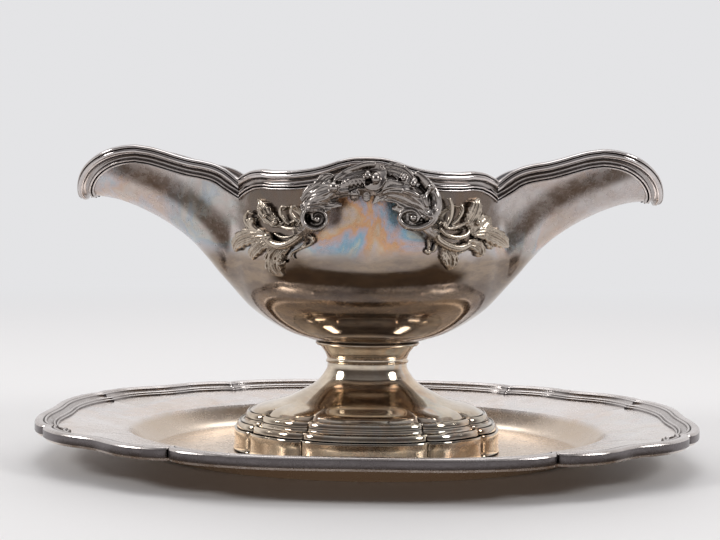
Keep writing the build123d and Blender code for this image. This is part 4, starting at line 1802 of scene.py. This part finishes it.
GRIP_FRONT: tuple[Part, ...] = (
    Blade(((-22.2, 93.1), (-18.3, 94.2), (-14.1, 94.6), (-10.3, 94.7), (-8.3, 94.5)),
         (1.2, 1.9, 2.0, 1.4, 0.3), (0.6, 1.0, 1.1, 0.8, 0.4), 3),
    Blade(((-21.7, 95.1), (-19.2, 97), (-16, 98.7), (-12.7, 100), (-10.2, 101.1)),
         (1.6, 2.8, 3.2, 2.8, 1.0), (0.3, 0.9, 1.2, 1.3, 0.8), 3),
    Ball((-11.1, 100.5), 1.7, 1.0),
    Blade(((-17.9, 98.5), (-15.8, 101.3), (-13.5, 103.6), (-11.2, 104.4)), (1.0, 1.7, 1.7, 0.5),
         (0.4, 1.0, 1.2, 0.8), 3),
    Rib(((-11.2, 102.6), (-7.3, 105), (-3.6, 106.3), (-0.3, 107.4), (3.4, 107.7)),
         (0.5, 0.8, 1.0, 1.1, 1.0), (1.0, 1.4, 1.6, 1.6, 1.4)),
    Blade(((-11.2, 102.4), (-7.3, 104.3), (-3.1, 105.7), (0.6, 106.1)), (0.3, 1.2, 1.7, 1.6),
         (0.8, 1.4, 1.8, 1.8), 4),
    Blade(((0.2, 107.1), (2.9, 106.3), (4.8, 104.2), (3.9, 101.7), (0.6, 100.8), (-0.6, 101.6)),
         (1.2, 1.9, 2.0, 1.6, 1.0, 0.3), (1.2, 2.0, 2.6, 2.8, 2.2, 1.4), 0),
    Ball((3.3, 103.4), 1.6, 2.6),
    Ball((0.5, 104.4), 1.2, 2.2),
    Ball((5.2, 106.3), 0.9, 1.8),
    Ball((-4, 98), 1.9, 0.5),
    Ball((0.1, 97.5), 1.5, 0.5),
    Blade(((-4.9, 99.1), (-2.1, 99.3), (1.1, 99.1), (3.7, 98.7)), (0.6, 1.1, 1.1, 0.3),
         (0.8, 1.2, 1.0, 0.4), 0),
    Blade(((21.1, 90.9), (17.7, 95.1), (13.2, 97.8), (8.1, 98.7), (4.5, 97.4), (2.4, 95.1)),
         (1.6, 3.0, 3.4, 2.7, 1.8, 0.3), (0.4, 1.4, 1.8, 1.6, 1.0, 0.3), 4),
    Blade(((20.6, 90.8), (17.1, 93.2), (12.9, 94.1), (8.9, 93.5)), (1.6, 2.2, 1.7, 0.3),
         (1.4, 1.8, 1.4, 0.5), 2),
    Blade(((4.7, 106.7), (8.9, 106.5), (12.7, 105.1), (15.1, 102.8), (16.7, 101)),
         (0.8, 1.8, 2.1, 1.7, 0.4), (1.2, 1.6, 2.0, 2.2, 1.4), 4),
    Ball((15.9, 101.9), 1.2, 2.2),
    Ball((12.5, 103.5), 1.0, 2.2),
    Rib(((16.4, 105.8), (19.7, 102.9), (22.3, 99.8), (23.9, 96.4), (23.8, 93), (21.7, 90)),
         (1.2, 1.6, 1.8, 1.8, 1.7, 1.5), (0.2, 0.2, 0.2, 0.2, 0.2, 0.4)),
    Rib(((21.4, 100), (20, 97.2), (21, 94)), (0.5, 0.7, 0.6), (1.6, 2.0, 1.8)),
    Rib(((22.4, 99.3), (23.6, 96.8), (23, 93.6)), (0.5, 0.6, 0.5), (1.6, 1.8, 1.6)),
    Ball((21.6, 100.2), 1.1, 1.6),
    Rib(((-9.3, 98.2), (-7.7, 98.6), (-5.3, 98.6)), (0.5, 0.6, 0.5), (0.8, 0.8, 0.6)),
    Rib(((-9.3, 99.3), (-7.7, 99.4), (-5.8, 99.7)), (0.5, 0.6, 0.5), (1.0, 1.0, 0.8)),
    Rib(((12.3, 99.9), (15.1, 99.3), (18.4, 97.6)), (0.5, 0.7, 0.5), (1.8, 1.9, 1.6)),
)

GRIP_BACK: tuple[Part, ...] = (
    Blade(((-20, 92.5), (-17.1, 96.9), (-10.4, 100.4), (-3.8, 101.8), (1, 101.8)),
         (1.6, 2.8, 3.2, 2.6, 0.4), (0.2, 0.8, 1.0, 0.9, 0.4), 6),
    Blade(((21.6, 92.5), (19.2, 96.9), (13.4, 100.2), (7.7, 101.6), (2, 101.8)),
         (1.6, 2.8, 3.2, 2.6, 0.4), (0.2, 0.8, 1.0, 0.9, 0.4), 6),
    Ball((1.5, 102), 1.7, 0.9),
)


@dataclass
class Ornament:
    """The two cast handles and the four leaf mounts that carry them.

    Attributes:
        form: the bowl that they lie on.
        base: height of the boat's own base.
        spine: (x, z) points along the middle of the grip.
        across: half thickness of the grip, seen from the front.
        depth: half thickness of the grip from front to back.
        stand: distance of the grip's middle from the boat's middle.
    """

    form: BowlForm = field(default_factory=lambda: BowlForm(soft=7.0))
    base: float = BOAT_BASE
    spine: tuple[Pair, ...] = (
        (-19, 91.2), (-18.5, 93.8), (-16.2, 96.7), (-12, 99.5), (-6.6, 101.1), (0.1, 101.8), (6.8, 101.6),
        (12.5, 100.2), (17.3, 97.8), (20.5, 94.6), (21.3, 91.2))
    across: tuple[float, ...] = (2.0, 2.9, 3.3, 3.6, 3.8, 3.9, 3.8, 3.6, 3.3, 2.9, 2.2)
    depth: float = 2.9
    stand: float = 59.0

    def build(self) -> None:
        """Build the handles and the mounts, the rear ones as turned copies."""
        left = self.mount("left_leaf_mount", LEFT_MOUNT)
        right = self.mount("right_leaf_mount", RIGHT_MOUNT)
        grip = self.handle("front_grip")
        rear_left, rear_right = right.turned("rear_left_leaf_mount"), left.turned("rear_right_leaf_mount")
        rear_grip = grip.turned("rear_grip")
        left.build("leaf_front_left", MOUNT_SILVER)
        right.build("leaf_front_right", MOUNT_SILVER)
        grip.build("handle_front", CAST_SILVER)
        rear_left.build("leaf_back_left", MOUNT_SILVER)
        rear_right.build("leaf_back_right", MOUNT_SILVER)
        rear_grip.build("handle_back", CAST_SILVER)

    def bowl_front(self, x: Array, z: Array) -> tuple[Array, Array]:
        """Find the bowl's front over an x and z.

        Args:
            x: places across.
            z: heights over the base.

        Returns:
            The places on the surface, in the shared frame, and the outward normals.
        """
        near, far = np.full(x.shape, -70.0), np.zeros(x.shape)
        for _ in range(20):
            mid = (near + far) / 2
            outside = self.form.value(np.stack([x, mid, z], -1)) > 0
            near, far = np.where(outside, mid, near), np.where(outside, far, mid)
        place = np.stack([x, (near + far) / 2, z], -1)
        normal = self.form.normal(place)
        return place + np.array([0, 0, self.base]), normal

    def grip_face(self, side: float) -> Ground:
        """Give the ground on the front or the back of the grip.

        Args:
            side: -1 for the face away from the bowl, 1 for the face towards it.

        Returns:
            The ground.
        """
        line = curve(self.spine, 160)
        half = spread(self.across, 160)

        def ground(x: Array, z: Array) -> tuple[Array, Array]:
            """Find the grip's surface over an x and z.

            Args:
                x: places across.
                z: heights over the base.

            Returns:
                The places and the outward normals.
            """
            flat = np.stack([x, z], -1)
            gap = flat[..., None, :] - line
            span = np.linalg.norm(gap, axis=-1)
            nearest = span.argmin(-1)
            share = np.clip(span.min(-1) / half[nearest], 0, 0.94)
            rise = np.sqrt(1 - share ** 2)
            away = flat - line[nearest]
            away = away / np.maximum(np.linalg.norm(away, axis=-1, keepdims=True), 1e-6)
            place = np.stack([x, side * self.depth * rise - self.stand, z + self.base], -1)
            tilt = 0.35 * share
            normal = unit(np.stack([away[..., 0] * tilt, side * (0.25 + rise), away[..., 1] * tilt], -1))
            return place, normal

        return ground

    def flat_face(self, x: Array, z: Array) -> tuple[Array, Array]:
        """Give an upright plane through the grip, facing away from the bowl.

        Args:
            x: places across.
            z: heights over the base.

        Returns:
            The places and the outward normals.
        """
        place = np.stack([x, np.full(x.shape, -self.stand), z + self.base], -1)
        return place, np.broadcast_to(np.array([0.0, -1.0, 0.0]), place.shape)

    def mount(self, name: str, parts: tuple[Part, ...]) -> Casting:
        """Lay one leaf mount on the bowl.

        Args:
            name: name of the piece.
            parts: its ribs, blades and beads.

        Returns:
            The casting.
        """
        casting = Casting(name, 0.24)
        casting.lay(parts, self.bowl_front)
        return casting

    def handle(self, name: str) -> Casting:
        """Build one handle: grip, leafage, volutes and stems.

        Args:
            name: name of the piece.

        Returns:
            The casting.
        """
        casting = Casting(name, 0.27)
        count = 90
        line = curve(self.spine, count)
        along = unit(np.gradient(line, axis=0))
        side = np.stack([-along[:, 1], along[:, 0]], -1)
        half = spread(self.across, count)
        angle = np.linspace(0, 2 * np.pi, 28, endpoint=False)
        flat = line[:, None, :] + side[:, None, :] * (half[:, None] * np.cos(angle))[..., None]
        front = np.broadcast_to(-self.stand + self.depth * np.sin(angle), flat.shape[:2])
        casting.add_rows(np.stack([flat[..., 0], front, flat[..., 1] + self.base], -1))
        casting.lay(GRIP_FRONT, self.grip_face(-1.0))
        casting.lay(GRIP_BACK, self.grip_face(1.0))
        self.combs(casting)
        self.volutes(casting)
        self.stems(casting)
        return casting

    def combs(self, casting: Casting) -> None:
        """Add the two rows of short upright flutes beside the middle curl.

        Args:
            casting: the handle's casting.
        """
        rows = (((-9.1, 101.1), (-4.9, 103.3), (-0.5, 103.8)), ((5.6, 102.5), (8.9, 102.8), (12.5, 101.8)))
        for row, count in zip(rows, (8, 8)):
            for x, z in curve(row, count):
                fall = (float(x) - 1.5) * 0.06
                path = ((x, z), (x + fall, z - 1.6), (x + fall * 1.5, z - 3.0))
                part = Rib(path, (0.55, 0.5, 0.3), (0.7, 0.6, 0.2))
                casting.lay([part, Ball((x, z), 0.62, 0.9)], self.grip_face(-1.0))

    def volutes(self, casting: Casting) -> None:
        """Add the two scrolls that end the grip.

        Args:
            casting: the handle's casting.
        """
        left = ((-20.6, 93), (-21.6, 90.2), (-20.6, 87.6), (-17.5, 86.2), (-14.5, 87.3), (-13.4, 89.7),
                (-14.5, 91.9), (-16.7, 92.5), (-18.4, 91.1), (-18, 89.3), (-16.4, 88.8))
        right = ((23.9, 93.8), (23.4, 90.4), (20.5, 87.8), (16.5, 86.9), (12.9, 88.2), (11.6, 90.7),
                 (13.1, 92.6), (15.9, 93), (18, 91.5), (17.7, 89.5), (15.9, 88.6), (14.4, 89.5))
        for path, heart, width in ((left, (-16.7, 89.5), 0.92), (right, (16.2, 90.4), 1.08)):
            radii = (width * 1.25, width * 1.25, width, width * 0.8, width * 0.55)
            casting.lay([Rib(path, radii, (0.6, 0.8, 1.0, 1.2, 1.4), 2.6 / width)], self.flat_face)
            rows = Ball(heart, width * 3.7, 0.0).rows()
            rows[..., 2] *= 0.66
            place, normal = self.flat_face(rows[..., 0], rows[..., 1])
            casting.add_rows(place + normal * rows[..., 2:3])
            casting.lay([Ball(heart, width * 1.2, 2.9)], self.flat_face)

    def stems(self, casting: Casting) -> None:
        """Add the stems that carry the volutes on the bowl.

        Args:
            casting: the handle's casting.
        """
        for x, turn in ((-17.6, -1.0), (17.9, 1.0)):
            knots = np.array([(x, -58.6, 89.4), (x + turn * 1.6, -56.5, 88.0), (x + turn * 3.4, -52.0, 86.4),
                              (x + turn * 4.8, -47.0, 85.6), (x + turn * 5.2, -42.8, 85.2)])
            line = curve(knots, 30)
            radius = spread((2.6, 2.1, 2.0, 2.6, 3.6), 30)
            along = unit(np.gradient(line, axis=0))
            first = unit(np.cross(along, np.array([0, 0, 1.0])))
            second = np.cross(first, along)
            angle = np.linspace(0, 2 * np.pi, 20, endpoint=False)
            ring = (first[:, None, :] * np.cos(angle)[:, None] + second[:, None, :] * np.sin(angle)[:, None])
            flute = 1 + 0.10 * np.cos(5 * angle)
            rows = line[:, None, :] + ring * (radius[:, None] * flute)[..., None]
            casting.add_rows(rows + np.array([0, 0, self.base]))


# ------------------------------------------------------------------ studio
@dataclass
class Studio:
    """Pale floor, soft light and the camera.

    Attributes:
        pale: colour of the backdrop.
        paper: colour of the floor.
        distance: from the camera to the middle of the object.
        height: of the lens over the table.
        turn: angle of the camera round the object, in degrees.
        aside: how far the camera stands to the right of that line.
        pitch: angle of the lens below the horizon, in degrees.
        roll: lean of the camera, in degrees.
        lens: focal length in millimetres on a 36 mm sensor.
        reach: half length of the floor's sides.
    """

    pale: Triple = (0.775, 0.775, 0.79)
    paper: Triple = (0.80, 0.79, 0.785)
    distance: float = 0.500
    height: float = 0.0948
    turn: float = 1.3
    aside: float = -0.0032
    pitch: float = 2.72
    roll: float = 0.62
    lens: float = 64.0
    reach: float = 12.0

    def build(self) -> None:
        """Build the floor, the light and the camera."""
        self.build_floor()
        self.build_world()
        self.soft_box("left_box", (-1.15, -0.36, 0.85), 0.44, 6.5)
        self.soft_box("right_box", (1.08, -0.42, 0.85), 0.44, 5.6)
        self.soft_box("top_box", (0.0, 0.55, 1.5), 1.2, 7.0)
        self.build_camera()

    def build_camera(self) -> None:
        """Place the camera."""
        data = bpy.data.cameras.new("camera")
        data.lens = self.lens
        data.sensor_width = 36.0
        data.clip_start, data.clip_end = 0.02, 30.0
        camera = bpy.data.objects.new("camera", data)
        bpy.context.collection.objects.link(camera)
        around = Matrix.Rotation(math.radians(self.turn), 4, "Z")
        place = around @ Vector((self.aside, -self.distance, self.height))
        camera.matrix_world = (Matrix.Translation(place) @ around
                               @ Matrix.Rotation(math.radians(90 - self.pitch), 4, "X")
                               @ Matrix.Rotation(math.radians(self.roll), 4, "Z"))
        bpy.context.scene.camera = camera

    def build_floor(self) -> None:
        """Lay a wide floor that fades into the backdrop, with a dark strip that only the silver mirrors."""
        corners = [(x * self.reach, y * self.reach, 0.0) for x, y in ((-1, -1), (1, -1), (1, 1), (-1, 1))]
        mesh = bpy.data.meshes.new("floor")
        mesh.from_pydata(corners, [], [(0, 1, 2, 3)])
        floor = bpy.data.objects.new("floor", mesh)
        bpy.context.collection.objects.link(floor)
        made = bpy.data.materials.new("floor_paper")
        made.use_nodes = True
        kit = NodeKit(made.node_tree)
        paper = kit.tree.nodes["Principled BSDF"]
        paper.inputs["Base Color"].default_value = (*self.paper, 1.0)
        paper.inputs["Roughness"].default_value = 0.6
        place = kit.place()
        length = kit.add("ShaderNodeVectorMath")
        length.operation = "LENGTH"
        kit.link(place, length.inputs[0])
        far = kit.span(length.outputs["Value"], 0.25, 1.1)
        faded = kit.blend(far, paper.outputs[0], kit.glow(self.pale))
        x, y, _ = kit.axes(place)
        strip = kit.math("MULTIPLY", kit.span(y, -0.185, -0.165), kit.span(y, -0.03, -0.07))
        strip = kit.math("MULTIPLY", strip, kit.span(kit.math("ABSOLUTE", x), 0.26, 0.16))
        mirrored = kit.add("ShaderNodeLightPath").outputs["Is Glossy Ray"]
        both = kit.blend(kit.math("MULTIPLY", strip, mirrored), faded, kit.glow((0.12, 0.085, 0.06)))
        kit.link(both, kit.tree.nodes["Material Output"].inputs["Surface"])
        mesh.materials.append(made)

    def build_world(self) -> None:
        """Light the set: a plain pale surround, and a room for the silver to mirror."""
        world = bpy.data.worlds.new("studio")
        bpy.context.scene.world = world
        world.use_nodes = True
        kit = NodeKit(world.node_tree)
        seen = kit.tree.nodes["Background"]
        seen.inputs["Color"].default_value = (*self.pale, 1.0)
        _, y, z = kit.axes(kit.add("ShaderNodeTexCoord").outputs["Generated"])
        height = kit.ramp(z, [
            (0.0, (0.58, 0.56, 0.56)), (0.10, (0.58, 0.57, 0.58)), (0.19, (0.26, 0.24, 0.24)),
            (0.36, (0.09, 0.08, 0.075)), (0.62, (0.10, 0.09, 0.09)), (0.85, (0.34, 0.34, 0.36)),
            (1.0, (0.6, 0.6, 0.62))])
        room = kit.add("ShaderNodeBackground")
        kit.link(kit.mix(kit.span(y, -0.25, 0.45), height, (0.86, 0.85, 0.86)), room.inputs["Color"])
        plain = kit.add("ShaderNodeLightPath").outputs["Is Camera Ray"]
        both = kit.blend(plain, room.outputs[0], seen.outputs[0])
        kit.link(both, kit.tree.nodes["World Output"].inputs["Surface"])

    def soft_box(self, name: str, place: Triple, size: float, power: float) -> None:
        """Hang one round soft box that faces the object.

        Args:
            name: the light's name.
            place: where it hangs, in metres.
            size: its width in metres.
            power: its power in watts.
        """
        data = bpy.data.lights.new(name, "AREA")
        data.shape = "DISK"
        data.size = size
        data.energy = power
        light = bpy.data.objects.new(name, data)
        light.location = place
        aim = Vector((0, 0, 0.05)) - Vector(place)
        light.rotation_mode = "QUATERNION"
        light.rotation_quaternion = aim.to_track_quat("-Z", "Y")
        bpy.context.collection.objects.link(light)


def main() -> None:
    """Build every piece and the studio; each piece's face count is logged."""
    logging.basicConfig(level=logging.INFO, format="%(message)s")
    bpy.context.scene.view_settings.view_transform = "Standard"
    Plate().build()
    Foot().build()
    Bowl().build()
    Ornament().build()
    Studio().build()


if __name__ == "__main__":
    main()
